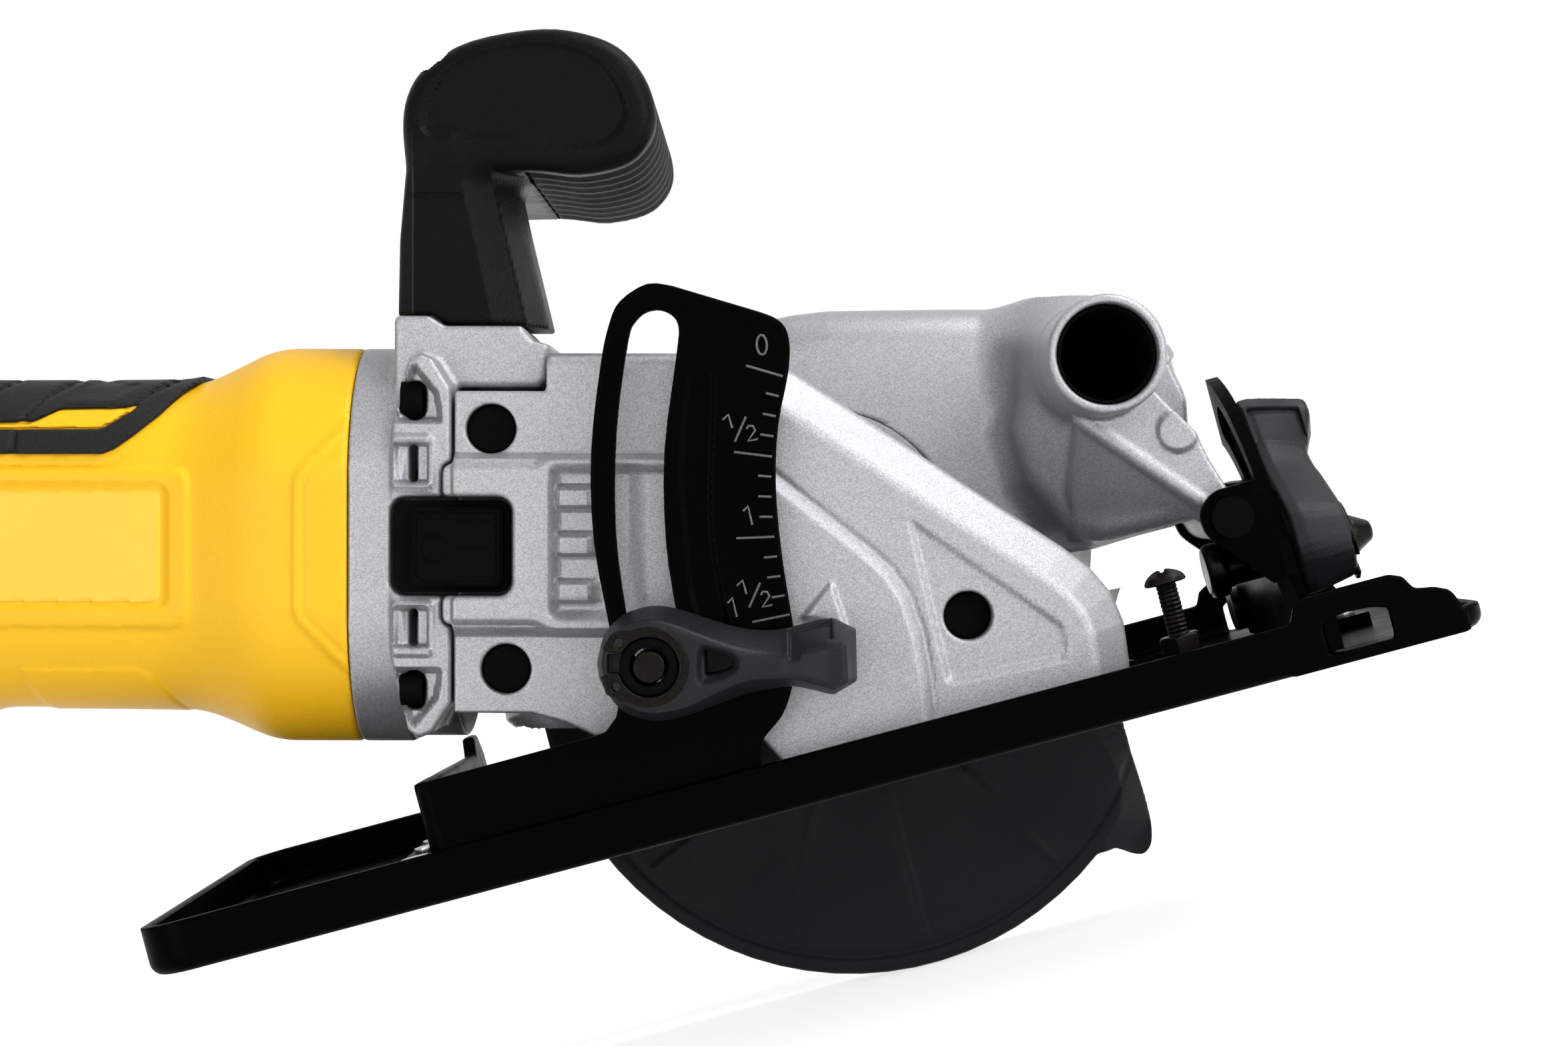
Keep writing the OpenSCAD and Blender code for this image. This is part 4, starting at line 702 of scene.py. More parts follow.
def front_handle():
    low, high, pitch = (-85.5, -26, 62), (-33, 73, 119), 0.5
    x, y, z = clay(low, high, pitch)
    bean = outline(x, z, BEAN)
    # sleeve with ribs round the palm side
    t = ((y - RIB_Y0) / RIB_PITCH) % 1.0
    rib = 1.9 * np.clip(1 - t / 0.72, 0, 1) ** 0.8 * step(slab(y, RIB_Y0 + 0.5, RIB_Y1), 1.0)
    reach = np.clip((x + 62.5) / 3.5, 0, 1) * np.clip((111.5 - z - 0.25 * (x + 45)) / 5, 0, 1)
    grip = meet(meet(bean + rib * reach, -25 - y, 3.6), y - 72, 6.0)
    panel = step(outline(x, z, BEAN_PANEL), 1.5)
    grip = meet(grip, (-25 + 0.95 * panel - y) * 0.85)
    # post
    first, second = x + 66.4 + 0.226 * (z - 65.1), x + 60.4 + 0.239 * (z - 64.5)
    front = -24.4 + 0.62 * np.maximum(0, first) + 2.4 * np.maximum(0, second) + 1.15 * np.maximum(0,
        -80.3 - x) + 0.45 * (x < -80.3)
    side = outline(x, z, [(-83.7, 65.1), (-83.4, 79), (-82.3, 90), (-80, 97), (-62, 97), (-62.6, 88),
        (-61.2, 81.5), (-56.8, 63.4), (-74.1, 63.4), (-76.9, 65.1)])
    post = meet(meet(side, (front - y) * 0.8, 0.7), y - 6, 3.0)
    d = join(grip, post, 3.2)
    mould = np.abs(z - 86.6 + 0 * x) - 0.3
    d = d + 0.35 * step(meet(mould, slab(x, -80.3, -71.4)), 0.5) * (y < -22)
    for yy in HANDLE_BOLTS_Y:
        d = cut(d, meet(disc(x, y, -76.5, yy, 2.6), 76 - z))
    sleeve = meet(meet(-61.0 - x + 0.6 * np.maximum(0, 92 - z), z - 108.6 + 0.25 * (x + 45)), slab(y, -18.4,
        67.4))
    sleeve = meet(sleeve, 89.2 - z + 0 * x)
    skin("front_handle_body", low, pitch, meet(d, 0.14 - sleeve, 0.2), from_body, "plastic_black", "saw",
        ["front_handle"])
    skin("front_handle_sleeve", low, pitch, meet(d, sleeve + 0.14, 0.2), from_body, "rubber_black", "saw",
        ["front_handle_grip"])


# ---------- housing ----------
def smooth_run(x, stations, values, reach=3.5):
    """A value along the housing, between stations, with its corners rounded."""
    offsets = np.linspace(-reach, reach, 9)
    return sum(np.interp(x + o, stations, values) for o in offsets) / len(offsets)


SECTIONS = [(-90.6, 23.6, 36.2, 35.0, 26), (-107, 23.6, 36.2, 35.0, 26), (-114.5, 23.4, 32.6, 32.2, 24),
    (-121, 23.1, 29.9, 29.6, 21), (-133, 23.1, 29.6, 28.4, 18), (-158, 23.1, 29.6, 25.6, 17),
    (-166, 21.8, 31.0, 24.8, 17), (-190, 26.0, 24.5, 22.7, 17), (-228, 28.0, 22.0, 21.2, 16),
    (-238, 27.0, 28.0, 27.0, 15), (-244, 25.0, 42.0, 36.0, 12), (-262, 25.0, 42.0, 36.0, 12)][::-1]
LABEL_PANEL = (-160, -119.8, 8.8, 37.5, 3.0)
LABEL = (-160, -123.7, 12.4, 34.4, 1.6)
GROOVE = [(-152.3, 38), (-151.8, 44.0), (-150.6, 46.5), (-147.6, 50.4), (-143, 53.4)]
GROOVE_PITCH = 11.6


def housing_surface(x, y, z):
    at = [s[0] for s in SECTIONS]
    mid, hh, hw, r = (smooth_run(x, at, [s[i] for s in SECTIONS]) for i in (1, 2, 3, 4))
    return corner(np.abs(z - mid) - hh + r, np.abs(y) - hw + r) - r


def housing():
    low, high, pitch = (-262, -37, -18.5), (-90.7, 37, 67.5), 0.7
    x, y, z = clay(low, high, pitch)
    d0 = housing_surface(x, y, z)
    near = step(y + 14 + 0 * x, 6)
    # raised border round the blank label, and the pad that carries on from the flange
    border, inner = rect(x, z, *LABEL_PANEL), rect(x, z, *LABEL)
    relief = 0.75 * step(border, 1.4) * (1 - step(inner, 1.0))
    pad = outline(x, z, [(-80, 56), (-91.5, 45.6), (-99.6, 37.0), (-100.4, 34.5), (-100.4, 12.0),
        (-99.6, 10.0), (-91.5, 1.6), (-80, -9)])
    relief = relief + 0.55 * step(pad, 1.4) - 0.3 * step(np.abs(pad + 1.9) - 0.4, 0.9)
    both = step(np.abs(stroke(x, z, [(-165, 37.9), (-134.5, 38.0), (-129, 41)], 0.0)) - 0.3, 0.8) * 0.3
    outer = d0 - near * relief + near * both
    small = outline(x, z, [(-151.3, 1.2), (-130.0, 1.4), (-127.5, 0), (-122.4, -8), (-147.5, -8)])
    outer = outer - 0.3 * step(small, 0.8) * step(y, 4)
    # slot for the trigger, button and terminals, and the space inside
    d = meet(outer, slab(x, -262, -90.8), 0.5)
    hollow = meet(d0 + 2.6, slab(x, -259.4, -80), 0.0)
    d = meet(d, -hollow)
    d = cut(d, meet(slab(x, -206.35, -171.65), slab(y, -8, 8)) + 0 * z + meet(z - 12, 0), 0.5)
    d = cut(d, disc(x, z, -190, 38, 5.85), 0.8)
    d = cut(d, meet(rect(y, z, -16, 16, 10, 44, 1), x + 258), 0.3)
    for px, depth in ((-153, 24.6), (-208, 21)):
        d = cut(d, meet(disc(x, z, px, 24, 3.0), 11.8 - y))
        d = cut(d, meet(disc(x, z, px, 24, 1.7), slab(y, 2.8 - depth, 13)))
    ribs = np.abs(((x + 262) % 6.5) - 3.25) - 1.0
    vents = meet(meet(ribs, slab(x, -113.5, -94)), np.abs(z - 23.6) - 13 + 0 * x)
    d = cut(d, meet(vents, 24 - y), 0.4)
    for side, name in ((1, "housing_shell_right"), (-1, "housing_shell_left")):
        half = meet(d, side * y + 0.02 + 0 * z, 0.45)
        node_name = name.replace("_shell", "")
        skin(name, low, pitch, half, from_body, "yellow_plastic", "saw", [node_name])
    # rubber over the top of the grip, with its inlay and grooves
    grip = outline(x, z, [(-120.4, 80), (-120.6, 53.2), (-122.6, 51.4), (-126.1, 47.0), (-130.2, 43.2),
        (-133.4, 40.8), (-135.6, 39.9), (-229, 39.9), (-233, 43), (-236, 80)])
    inlay = outline(x, z, [(-224, 45.6), (-149.6, 45.6), (-148.3, 46.1), (-144.3, 48.2), (-130.2, 48.4),
        (-134.6, 45.4), (-136.3, 44.4), (-224, 44.3)])
    skin_t = 1.25
    grooves = [[(a - GROOVE_PITCH * k, b) for a, b in GROOVE] for k in range(7)]
    grooves.insert(1, [(-131.4, 48.6), (-129.2, 50.8), (-125, 53.4)])
    for path in grooves:
        skin_t = skin_t - 0.95 * step(stroke(x, z, path, 0.42), 0.7)
    plate = outline(x, z, [(-143.6, 50.4), (-135, 50.4), (-131, 52.8), (-139, 54), (-141.6, 52.6)])
    skin_t = skin_t - 0.5 * step(plate, 0.7)
    rubber = meet(d0 - skin_t, -1.7 - d0)
    rubber = meet(rubber, meet(grip, -inlay), 0.4)
    rubber = cut(rubber, disc(x, z, -190, 38, 7.0), 0.5)
    skin("grip_rubber", low, pitch, rubber, from_body, "rubber_black", "saw", ["grip_overmold"])
    strip = meet(meet(d0 - 0.75, -1.7 - d0), inlay + 0.12, 0.25)
    skin("grip_inlay", low, pitch, strip, from_body, "yellow_plastic", "saw", ())
    label = meet(meet(d0 - 0.32, -1.7 - d0), meet(rect(x, z, -160, -124.6, 13.2, 33.6, 1.4), y + 10), 0.15)
    skin("blank_label", low, pitch, label, from_body, "label_yellow", "saw", ["rating_plate"])


# ---------- lower guard ----------
GUARD_R = 63.3


def lower_guard():
    low, high, pitch = (-64, 39, -64), (64, 52.4, 21), 0.5
    x, y, z = clay(low, high, pitch)
    rim = arc(GUARD_R, -38, -173, -5)
    nose = [(19, 8)] + curve([(53.6, -9.1), (55.8, -14), (57.1, -19), (59.3, -25.7), (60.9, -31),
        (61.5, -34.6), (61.3, -37.6), (59.8, -39.5), (57.6, -39.4), (55.6, -38.6), (53.6, -37.9)], 3,
        closed=False)
    sector = outline(x, z, nose + rim + [(-20, 6), (0, 19)])
    sector = join(sector, disc(x, z, 0, 0, 20))
    body = meet(sector, slab(y, 39.3, 52.1), 2.0)
    # pressed face with radial ribs, a fold towards the lip and a rolled rim
    level = 39.75 + 0 * (x + z)
    for a, b in (((-6.9, -28), (-12.6, -55.3)), ((7.2, -25), (15.1, -55.3)), ((23.2, -22.4), (40.3, -39.5)),
        ((-29, -34), (-39.5, -42)), ((-24, -15), (-46, -24))):
        level = level - 0.75 * step(stroke(x, z, [a, b], 0.7), 1.3)
    level = level + 0.5 * step(np.abs(disc(x, z, 0, 0, 59.6)) - 0.6, 1.2) * step(z + 20, 4)
    fold = outline(x, z, curve([(48.0, -11), (50.4, -16), (53.6, -21.7), (54.6, -27.4), (53.6, -31.6),
        (51.4, -35.4)], 3, closed=False) + [(50, -50), (80, -50), (80, -5)])
    level = level + 0.9 * np.clip(-fold, 0, 7)
    body = meet(body, (level - y) * 0.9, 0.4)
    inner = outline(x, z, [(0, 30), (70, -10), (60.0, -33.9), (60.0, -37.6), (52.6, -36)] + arc(61.4, -38,
        -171, -5) + [(-90, -4), (-30, 30)])
    body = cut(body, meet(inner, meet(level + 1.3 - y, y - 50.4), 0.4))
    back = outline(x, z, [(-30, 40), (60, 40), (66, -12), (45, -22), (31, -6)] + arc(26, 0, -181,
        -12) + [(-90, 2)])
    body = cut(body, meet(back, 50 - y))
    body = cut(body, disc(x, z, 0, 0, 14.7))
    skin("lower_guard_casting", low, pitch, body, from_body, "guard_black", "lower_guard", ["lower_guard"])


# ---------- clamp levers ----------
LEVER_EDGE = curve([(-9.3, 0.2), (-8, 5.2), (-4.8, 8.6), (-0.1, 10.1), (3.8, 9.8), (8.1, 8.5), (13.2, 6.9),
    (17.8, 6), (22.1, 6.1), (25.3, 6.9), (29.2, 7.9)], 3, closed=False) + [(31.4, 8.1), (35.3, 6.2),
    (35.5, -2.7), (31.5, -5.1), (30.2, -4.9)] + curve([(28.4, -4.4), (24.6, -3.7), (20.3, -4.2), (16, -5.1),
    (11.4, -6.8), (6.7, -8.6), (2.4, -9.6), (-1.2, -9.4), (-4.8, -8), (-7.6, -4.8), (-8.9, -2.3)], 3,
    closed=False)
LEVER_TOP = curve([(-8.0, 0), (-7.1, 4.4), (-3.0, 7.2), (2.0, 7.6), (8.2, 5.4), (15.4, 2.9), (22.5, 2.1),
    (30.0, 3.9)], 3, closed=False) + [(33.2, 4.2), (33.6, -2.3), (31.4, -3.5)] + curve([(30.0, -3.2),
    (24.6, -1.9), (16.8, -2.1), (11.1, -4.4), (6.1, -6.8), (0, -7.7), (-4.6, -6.0), (-7.2, -2.6)], 3,
    closed=False)
POCKET = curve([(7.9, 0), (8.3, 3.2), (9.6, 3.8), (13.9, 2.7), (15.4, 1.2), (15.1, -0.6), (13.4, -1.9),
    (9.6, -3.1), (8.3, -2.5)], 3)
HUB_H = 11.0
BEVEL_LEVER_TURN = 137


def lever(name, at, body, node_name, ring_node):
    low, high, pitch = (-10, -10.5, 0), (36, 11, 14.2), 0.36
    u, v, w = clay(low, high, pitch)
    height = smooth_run(u, [-12, 14, 18, 22.5, 30, 36], [HUB_H, HUB_H, 10.5, 10.4, 13.7, 13.7], 1.2)
    draft = np.clip((w - 2.5) / (height - 2.5), 0, 1) ** 1.2
    side = outline(u, v, LEVER_EDGE) * (1 - draft) + outline(u, v, LEVER_TOP) * draft
    d = meet(side * 0.93, meet(w - height, -w), 0.9)
    thumb = meet(meet(np.abs(u - 27.4) - 3.6, np.abs(w - 6.3) - 5.1), meet(-1.3 - side, -v))
    d = cut(d, thumb, 0.4)
    rim = outline(u, v, POCKET)
    d = meet(d, w - height + 1.5 * step(rim + 0.5, 1.6))
    d = cut(d, meet(outline(u, v, [(9.4, 3.0), (12.6, 2.0), (14.3, 0.9), (14.2, -0.3), (12, -1.2),
        (9.6, -1.5)]), 3.2 - w), 0.4)
    d = cut(d, meet(join(disc(u, v, 0, 0, 5.2), rect(u, v, -7.0, -4, -1.1, 2.1, 0.2)), HUB_H - 2.6 - w))
    d = cut(d, disc(u, v, 0, 0, 3.3) - 0 * w)
    skin(name, low, pitch, d, at, "lever_black", body, [node_name])
    sleeve = meet(disc(u, v, 0, 0, 5.0), 3.3 - np.hypot(u, v))
    sleeve = meet(sleeve, slab(w, HUB_H - 3, HUB_H + 0.3), 0.45)
    ears = [(-5.0, 3.2), (-3.4, 4.2), (-1, 6.4), (-3.7, 6.2), (-6.3, 5.8), (-7.9, 3.1),
        (-7.0, 2.4)], [(-5.0, -1.5), (-3.2, -4), (-1, -6.5), (-4, -5.9), (-7.2, -4.7), (-8.2, -1.5)]
    keeper = join(disc(u, v, 0, 0, 6.8), join(outline(u, v, ears[0]), outline(u, v, ears[1])))
    keeper = meet(keeper, 5.1 - np.hypot(u, v))
    keeper = cut(keeper, rect(u, v, -12, -4, -1.3, 2.3, 0.3))
    for c in ((-5.1, 4.1), (-5.5, -3.4)):
        keeper = meet(keeper, 0.85 - np.hypot(u - c[0], v - c[1]))
    keeper = meet(keeper, slab(w, HUB_H - 0.4, HUB_H + 0.45), 0.15)
    skin(name + "_sleeve", low, pitch, sleeve, at, "pit_black", body, ())
    skin(name + "_keeper", low, pitch, keeper, at, "zinc_dark", body, [ring_node])


def depth_lever_place(p):
    return from_body(np.stack((-36.4 + p[:, 0], -46.0 - p[:, 2], 3.3 + p[:, 1]), 1))


def bevel_lever_place(p):
    turn = math.radians(BEVEL_LEVER_TURN)
    c, s = math.cos(turn), math.sin(turn)
    u, v, w = p[:, 0], p[:, 1], p[:, 2]
    return from_shoe(np.stack((85.6 + w, 5.4 + u * s + v * c, 18.6 - u * c + v * s), 1))


def clamp_bolts():
    low, high, pitch = (-5.5, -5.5, -17), (5.5, 5.5, 17), 0.3
    u, v, w = clay(low, high, pitch)
    end = meet(disc(u, v, 0, 0, 2.85), slab(w, -8.5, HUB_H + 0.1), 0.5)
    skin("depth_bolt_end", low, pitch, end, depth_lever_place, "zinc_dark", "saw", ["depth_bolt"])
    cone = disc(u, v, 0, 0, 4.6 - 0.58 * np.clip(w - HUB_H, 0, 6))
    cone = meet(meet(cone, disc(u, v, 0, 0, 4.0), 0.3), slab(w, HUB_H + 0.6, HUB_H + 5.0), 0.6)
    shank = meet(disc(u, v, 0, 0, 2.95), slab(w, -8.2, HUB_H + 2))
    head = meet(disc(u, v, 0, 0, 5.3), slab(w, -16.6, -12.6), 1.4)
    neck = meet(disc(u, v, 0, 0, 3.6), slab(w, -13.5, -5.9), 0.3)
    shank = join(shank, join(head, neck))
    skin("bevel_bolt_end", low, pitch, join(cone, shank), bevel_lever_place, "zinc_dark", "bevel_frame",
        ["bevel_bolt"])


# ---------- depth bracket ----------
PIVOT_SHOE = (75.0, 28.0)
TICK_A, TICK_STEP = 148.9, 9.27
HALF = [[(-2.6, 2.1), (-1.4, 2.7), (-1.35, 0.3)], [(-1.5, -2.1), (1.45, 1.6)], [(1.0, -0.5), (1.5, -0.05),
    (2.2, -0.3), (2.4, -1.1), (0.7, -2.6), (2.5, -2.7)]]
ONE = [[(-0.8, 1.0), (0.2, 1.6), (0.1, -1.7)]]
ZERO = [[(0.9 * math.cos(math.radians(a)) + 0.25 * math.sin(math.radians(a)),
    1.7 * math.sin(math.radians(a))) for a in range(0, 361, 30)]]


def polar(r, degrees):
    a = math.radians(degrees)
    return PIVOT_SHOE[0] + r * math.cos(a), PIVOT_SHOE[1] + r * math.sin(a)


def depth_bracket():
    low, high, pitch = (-80, -45.7, 2.4), (79.8, -34, 95), 0.45
    x, y, z = clay(low, high, pitch)
    arm = curve([(-40.6, 30), (-39.8, 38.7), (-38.6, 53.8), (-35.1, 68.8), (-29.5, 83.3), (-26.3, 89.6),
        (-23.5, 92.9), (-18.2, 94.6), (-14.0, 93.1)], 3, closed=False) + curve([(-0.6, 84.9), (2.3, 82.6),
        (3.2, 79.4), (1.7, 73.8), (-2.5, 65.0), (-5.6, 55.0), (-7.6, 43.6), (-8.7, 33), (-9.6, 26),
        (-11.8, 20.6), (-14.8, 16.2), (-18.9, 13.2), (-20.2, 10.6), (-20.4, 8.4)], 3, closed=False)
    edge = outline(x, z, [(-79.9, 2.5), (-79.9, 18.6), (-78.9, 20.3), (-77.0, 21.0), (-48.8, 21.1),
        (-45.2, 21.3), (-42.6, 23.4), (-41.2, 26.5)] + arm + [(79.8, 8.4), (79.8, 2.5)])
    slot = outline(x, z, curve([(-36.7, 31.5), (-36.3, 40.5), (-34.4, 54.7), (-29.8, 71.4), (-23.9, 85.8),
        (-21.7, 88.8), (-19.0, 89.9), (-16.2, 89.0), (-14.8, 86.2), (-16.7, 80.7), (-22.8, 65.6),
        (-26.5, 50.6), (-27.8, 39.2), (-28.1, 30.5), (-30.4, 27.1), (-34.4, 27.4)], 3))
    d = meet(edge, slab(y, -45.6, -43.1), 0.55)
    d = cut(d, meet(slot, slab(y, -50, -40)))
    press = outline(x, z, curve([(-13.6, 78.6), (-16.6, 74.0), (-20.9, 61.1), (-23.1, 49.7), (-24.4, 41.0),
        (-24.2, 31), (-21.5, 28), (-19.9, 34.1), (-19.0, 46.6), (-17.1, 56.1), (-12.9, 70.0),
        (-11.2, 76.8)], 3))
    d = meet(d, (-45.6 + 0.55 * step(press, 0.9) - y) * 0.9)
    d = meet(d, meet(-79.9 - x, -45.6 - y, 3.0) + 0 * z)
    foot = meet(rect(x, z, -69.5, 57.8, 2.5, 4.5, 0.3), slab(y, -44, -34.1), 0.3)
    d = join(d, foot, 0.8)
    skin("depth_bracket_plate", low, pitch, d, from_shoe, "steel_black", "bevel_frame", ["depth_bracket"])
    lines = []
    for k in range(13):
        a = TICK_A + TICK_STEP * k / 4
        inner = 87.1 - 0.105 * (a - TICK_A)
        reach = (6.6, 2.3, 2.3, 2.3)[k % 4]
        lines.append([polar(inner + reach, a), polar(inner, a)])
    for (ox, oz), glyph in (((-1.7, 79.2), ZERO), ((-9.0, 66.3), HALF), ((-11.4, 51.2), ONE),
        ((-18.1, 36.5), ONE), ((-14.0, 37.9), HALF)):
        lines += [[(ox + px, oz + pz) for px, pz in path] for path in glyph]
    data = bpy.data.curves.new("depth_scale", "CURVE")
    data.dimensions = "3D"
    data.bevel_depth = 0.24 * MM
    data.bevel_resolution = 2
    data.use_fill_caps = True
    for path in lines:
        spline = data.splines.new("POLY")
        spline.points.add(len(path) - 1)
        for point, (px, pz) in zip(spline.points, path):
            point.co = (px * MM, -45.58 * MM, pz * MM, 1)
    marks = bpy.data.objects.new("depth_scale", data)
    bpy.context.scene.collection.objects.link(marks)
    # grey marks: painted glints along the raised strokes
    marks.data.materials.append(MATERIALS["mark_black"])
    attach(marks, "bevel_frame")


def rear_crossbar():
    low, high, pitch = (-80.1, -43.3, 2.4), (-77.4, 52.2, 23.2), 0.6
    x, y, z = clay(low, high, pitch)
    edge = [(-43.3, 2.5), (45, 2.5), (50.4, 8), (52, 15), (52, 19), (48, 23), (41, 23), (37, 19.5),
        (-41, 21), (-43.3, 20.9)]
    d = meet(outline(y, z, edge), slab(x, -80, -77.5), 0.5)
    d = cut(d, rect(y, z, -20, 22, 11, 16.5, 2.5))
    d = meet(d, 2.6 - np.hypot(y - 45, z - 8))
    skin("rear_crossbar_plate", low, pitch, d, from_shoe, "steel_black", "bevel_frame", ["rear_crossbar"])


# ---------- shoe ----------
HUMP = [(73.8, 6.5), (74.2, 9.4), (75.1, 11.6), (77.1, 12.8), (84.5, 13), (92.6, 13), (94.8, 12.1),
    (96.2, 9.6), (99.6, 9.0), (102.2, 7.8), (103.3, 5.4), (103.3, 4)]


def shoe():
    low, high, pitch = (-133, -48, 0), (108, 72, 13), 0.7
    x, y, z = clay(low, high, pitch)
    plan = rect(x, y, -133, 108, -48, 72, 9)
    outer = meet(plan, -z, 2.4)
    rim = 9.0 - 1.6 * np.clip((x - 95.4) / 1.5, 0, 1) - 3.0 * np.clip((x - 102) / 1.5, 0, 1)
    d = cut(outer, meet(plan + 2, 2 - z, 1.4))
    wall = outline(x, z, [(-134, 0), (-134, 9), (73.8, 9)] + HUMP[1:] + [(103.6, 4.4), (109, 4.4),
        (109, 0)])
    d = meet(d, z - rim)
    humps = meet(meet(wall, -z), join(slab(y, -48, -46), slab(y, 70, 72)), 0.35)
    d = join(d, meet(humps, meet(72 - x, x - 104)))
    window = outline(x, z, [(79.3, 2.2), (79.3, 7.3), (80.4, 8.1), (83.4, 8.6), (87.9, 8.4), (91, 7.6),
        (91, 2.2)])
    d = cut(d, meet(window, join(y + 40, 64 - y)), 0.3)
    d = cut(d, rect(x, y, -76, 66, 26, 63, 5))
    d = cut(d, rect(x, y, 101, 109, 43, 47, 0.5))
    for px, py in [(px, py) for px in (91.3, -89.5) for py in (2, 22, 36)] + [(-108, 24)]:
        d = meet(d, 1.55 - np.hypot(x - px, y - py))
    skin("shoe_pressing", low, pitch, d, from_shoe, "steel_black", "shoe", ["shoe_plate"])


def stop_screw():
    low, high, pitch = (53, -29.5, 1.8), (62, -20.5, 23.4), 0.25
    x, y, z = clay(low, high, pitch)
    thread = 0.28 * np.abs(((z / 0.8) % 1.0) * 2 - 1)
    shank = meet(disc(x, y, 57.6, -25, 1.98) + thread, slab(z, 2.4, 20.6))
    head = meet(disc(x, y, 57.6, -25, 3.9), meet(20.2 - z, np.hypot(np.hypot(x - 57.6, y + 25),
        (z - 17.4) * 0.9) - 5.0), 0.5)
    cross = join(rect(x, y, 55.4, 59.8, -25.5, -24.5, 0.1), rect(x, y, 57.1, 58.1, -27.2, -22.8, 0.1))
    head = cut(head, meet(cross, 21.6 - z))
    skin("stop_screw_turned", low, pitch, join(head, shank), from_shoe, "zinc_dark", "bevel_frame",
        ["stop_screw"])
    px, py = x - 57.6, y + 25
    hexagon = None
    for k in range(6):
        a = math.radians(15 + 30 + 60 * k)
        side = px * math.cos(a) + py * math.sin(a) - 3.46
        hexagon = side if hexagon is None else meet(hexagon, side)
    nut = meet(hexagon, slab(z, 4.8, 10.8), 0.15)
    nut = meet(nut, (np.hypot(px, py) + np.abs(z - 7.8) * 1.6 - 8.1) * 0.55)
    nut = meet(nut, 2.1 - np.hypot(px, py) + 0 * z)
    skin("stop_nut_turned", low, pitch, nut, from_shoe, "zinc_dark", "bevel_frame", ["stop_nut"])


gear_case()
spindle_button()
motor_flange()
upper_guard()
front_handle()
housing()
lower_guard()
lever("depth_clamp_lever", depth_lever_place, "depth_clamp", "depth_lever", "depth_lever_ring")
lever("bevel_clamp_lever", bevel_lever_place, "bevel_clamp", "bevel_lever", "bevel_lever_ring")
clamp_bolts()
depth_bracket()
rear_crossbar()
shoe()
stop_screw()


# ---------- stage, lamps and camera ----------
def stage():
    """A plain pale floor under the saw, white to the eye, darkened only by the saw's shadow."""
    m = bpy.data.materials.new("pale_floor")
    m.use_nodes = True
    t = m.node_tree
    t.nodes.remove(t.nodes["Principled BSDF"])
    diffuse = node(t, "BsdfDiffuse", Color=(0.8, 0.8, 0.8, 1))
    glow = node(t, "Emission", Color=(1, 1, 1, 1))
    coords = node(t, "TexCoord")
    away = node(t, "VectorMath", operation="LENGTH")
    t.links.new(coords.outputs["Object"], away.inputs[0])
    far = remap(t, away.outputs["Value"], From_Min=0.15, From_Max=0.7, To_Min=0.74, To_Max=1.0)
    t.links.new(calc(t, "MULTIPLY", seen_directly(t), far), glow.inputs["Strength"])
    both = node(t, "AddShader")
    t.links.new(diffuse.outputs[0], both.inputs[0])
    t.links.new(glow.outputs[0], both.inputs[1])
    t.links.new(both.outputs[0], t.nodes["Material Output"].inputs["Surface"])
    mesh = bpy.data.meshes.new("floor")
    reach = 3.0
    z = cad_box[0][2] - 0.0005
    mesh.from_pydata([(-reach, -reach, z), (reach, -reach, z), (reach, reach, z), (-reach, reach, z)], [],
        [(0, 1, 2, 3)])
    mesh.materials.append(m)
    floor = bpy.data.objects.new("floor", mesh)
    bpy.context.scene.collection.objects.link(floor)


def seen_directly(t):
    """1 for rays from the camera and through glossy or clear surfaces, 0 for the light itself."""
    path = node(t, "LightPath")
    a = calc(t, "MAXIMUM", path.outputs["Is Camera Ray"], path.outputs["Is Glossy Ray"])
    return calc(t, "MAXIMUM", a, path.outputs["Is Transmission Ray"])


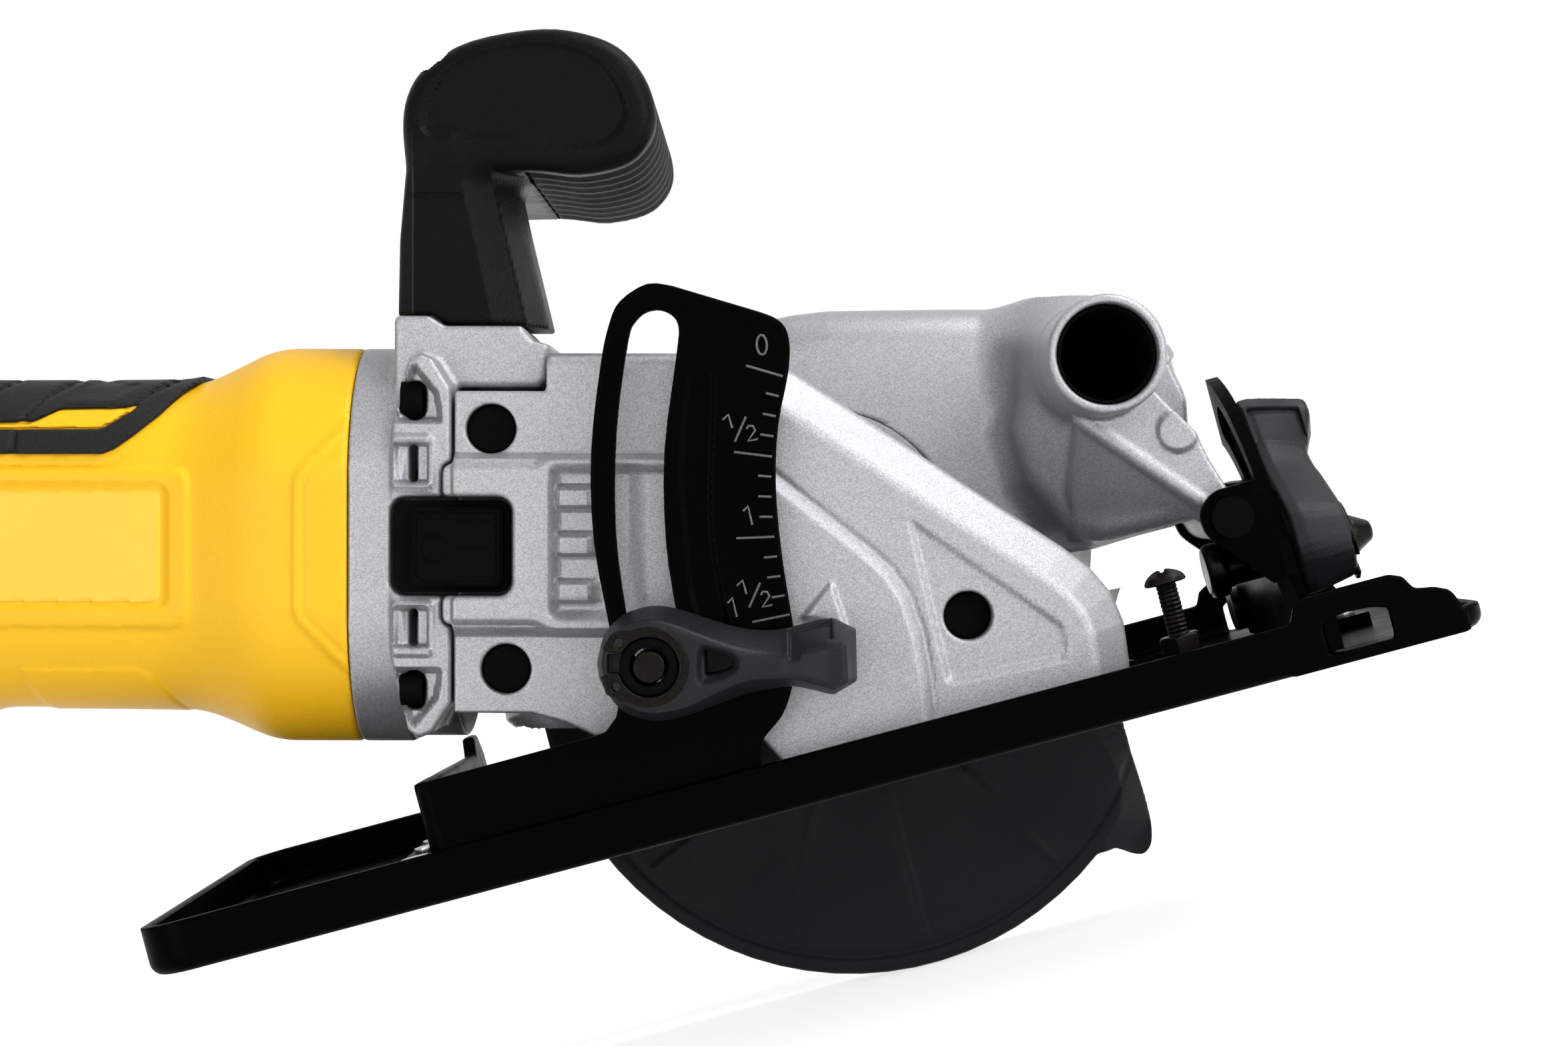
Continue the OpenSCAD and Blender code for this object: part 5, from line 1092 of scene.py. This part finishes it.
def lamp(name, spot, target, size, power, colour=(1, 1, 1)):
    data = bpy.data.lights.new(name, "AREA")
    data.shape = "RECTANGLE"
    data.size, data.size_y = size
    data.energy = power
    data.color = colour
    o = bpy.data.objects.new(name, data)
    bpy.context.scene.collection.objects.link(o)
    o.location = spot
    o.rotation_euler = (Vector(target) - Vector(spot)).to_track_quat("-Z", "Y").to_euler()
    return o


SENSOR, FOCAL_TO_WIDTH, CAMERA_ROLL = 36.0, 4524 / 2350, 14.9


def camera():
    data = bpy.data.cameras.new("camera")
    data.sensor_width = SENSOR
    data.lens = FOCAL_TO_WIDTH * SENSOR
    data.clip_start = 0.01
    roll = math.radians(CAMERA_ROLL)
    right = Vector((math.cos(roll), 0, -math.sin(roll)))
    up = Vector((math.sin(roll), 0, math.cos(roll)))
    back = right.cross(up)
    turn = Matrix((right, up, back)).transposed().to_4x4()
    o = bpy.data.objects.new("camera", data)
    bpy.context.scene.collection.objects.link(o)
    o.matrix_world = Matrix.Translation((-0.0059, -0.568, 0.0484)) @ turn
    bpy.context.scene.camera = o


def world():
    w = bpy.data.worlds.new("studio")
    bpy.context.scene.world = w
    w.use_nodes = True
    t = w.node_tree
    bg = t.nodes["Background"]
    bg.inputs["Color"].default_value = (1, 1, 1, 1)
    bg.inputs["Strength"].default_value = 0.32
    seen = node(t, "Background", Color=(1, 1, 1, 1), Strength=1.0)
    mix = node(t, "MixShader")
    t.links.new(seen_directly(t), mix.inputs[0])
    t.links.new(bg.outputs[0], mix.inputs[1])
    t.links.new(seen.outputs[0], mix.inputs[2])
    t.links.new(mix.outputs[0], t.nodes["World Output"].inputs["Surface"])


camera()
world()
stage()
lamp("key_box", (0.74, -0.62, 0.3), (0, 0, 0.05), (0.5, 0.6), 5.2)
lamp("front_box", (0.12, -0.95, 0.42), (0.02, 0, 0.05), (0.7, 0.3), 1.5)
lamp("side_box", (0.6, -0.06, 0.78), (0, 0, 0.04), (0.6, 0.5), 6.6)
lamp("left_box", (-0.66, -0.86, 0.1), (-0.05, 0, 0.03), (0.6, 0.6), 3.4)

bpy.context.scene.view_settings.view_transform = "Standard"
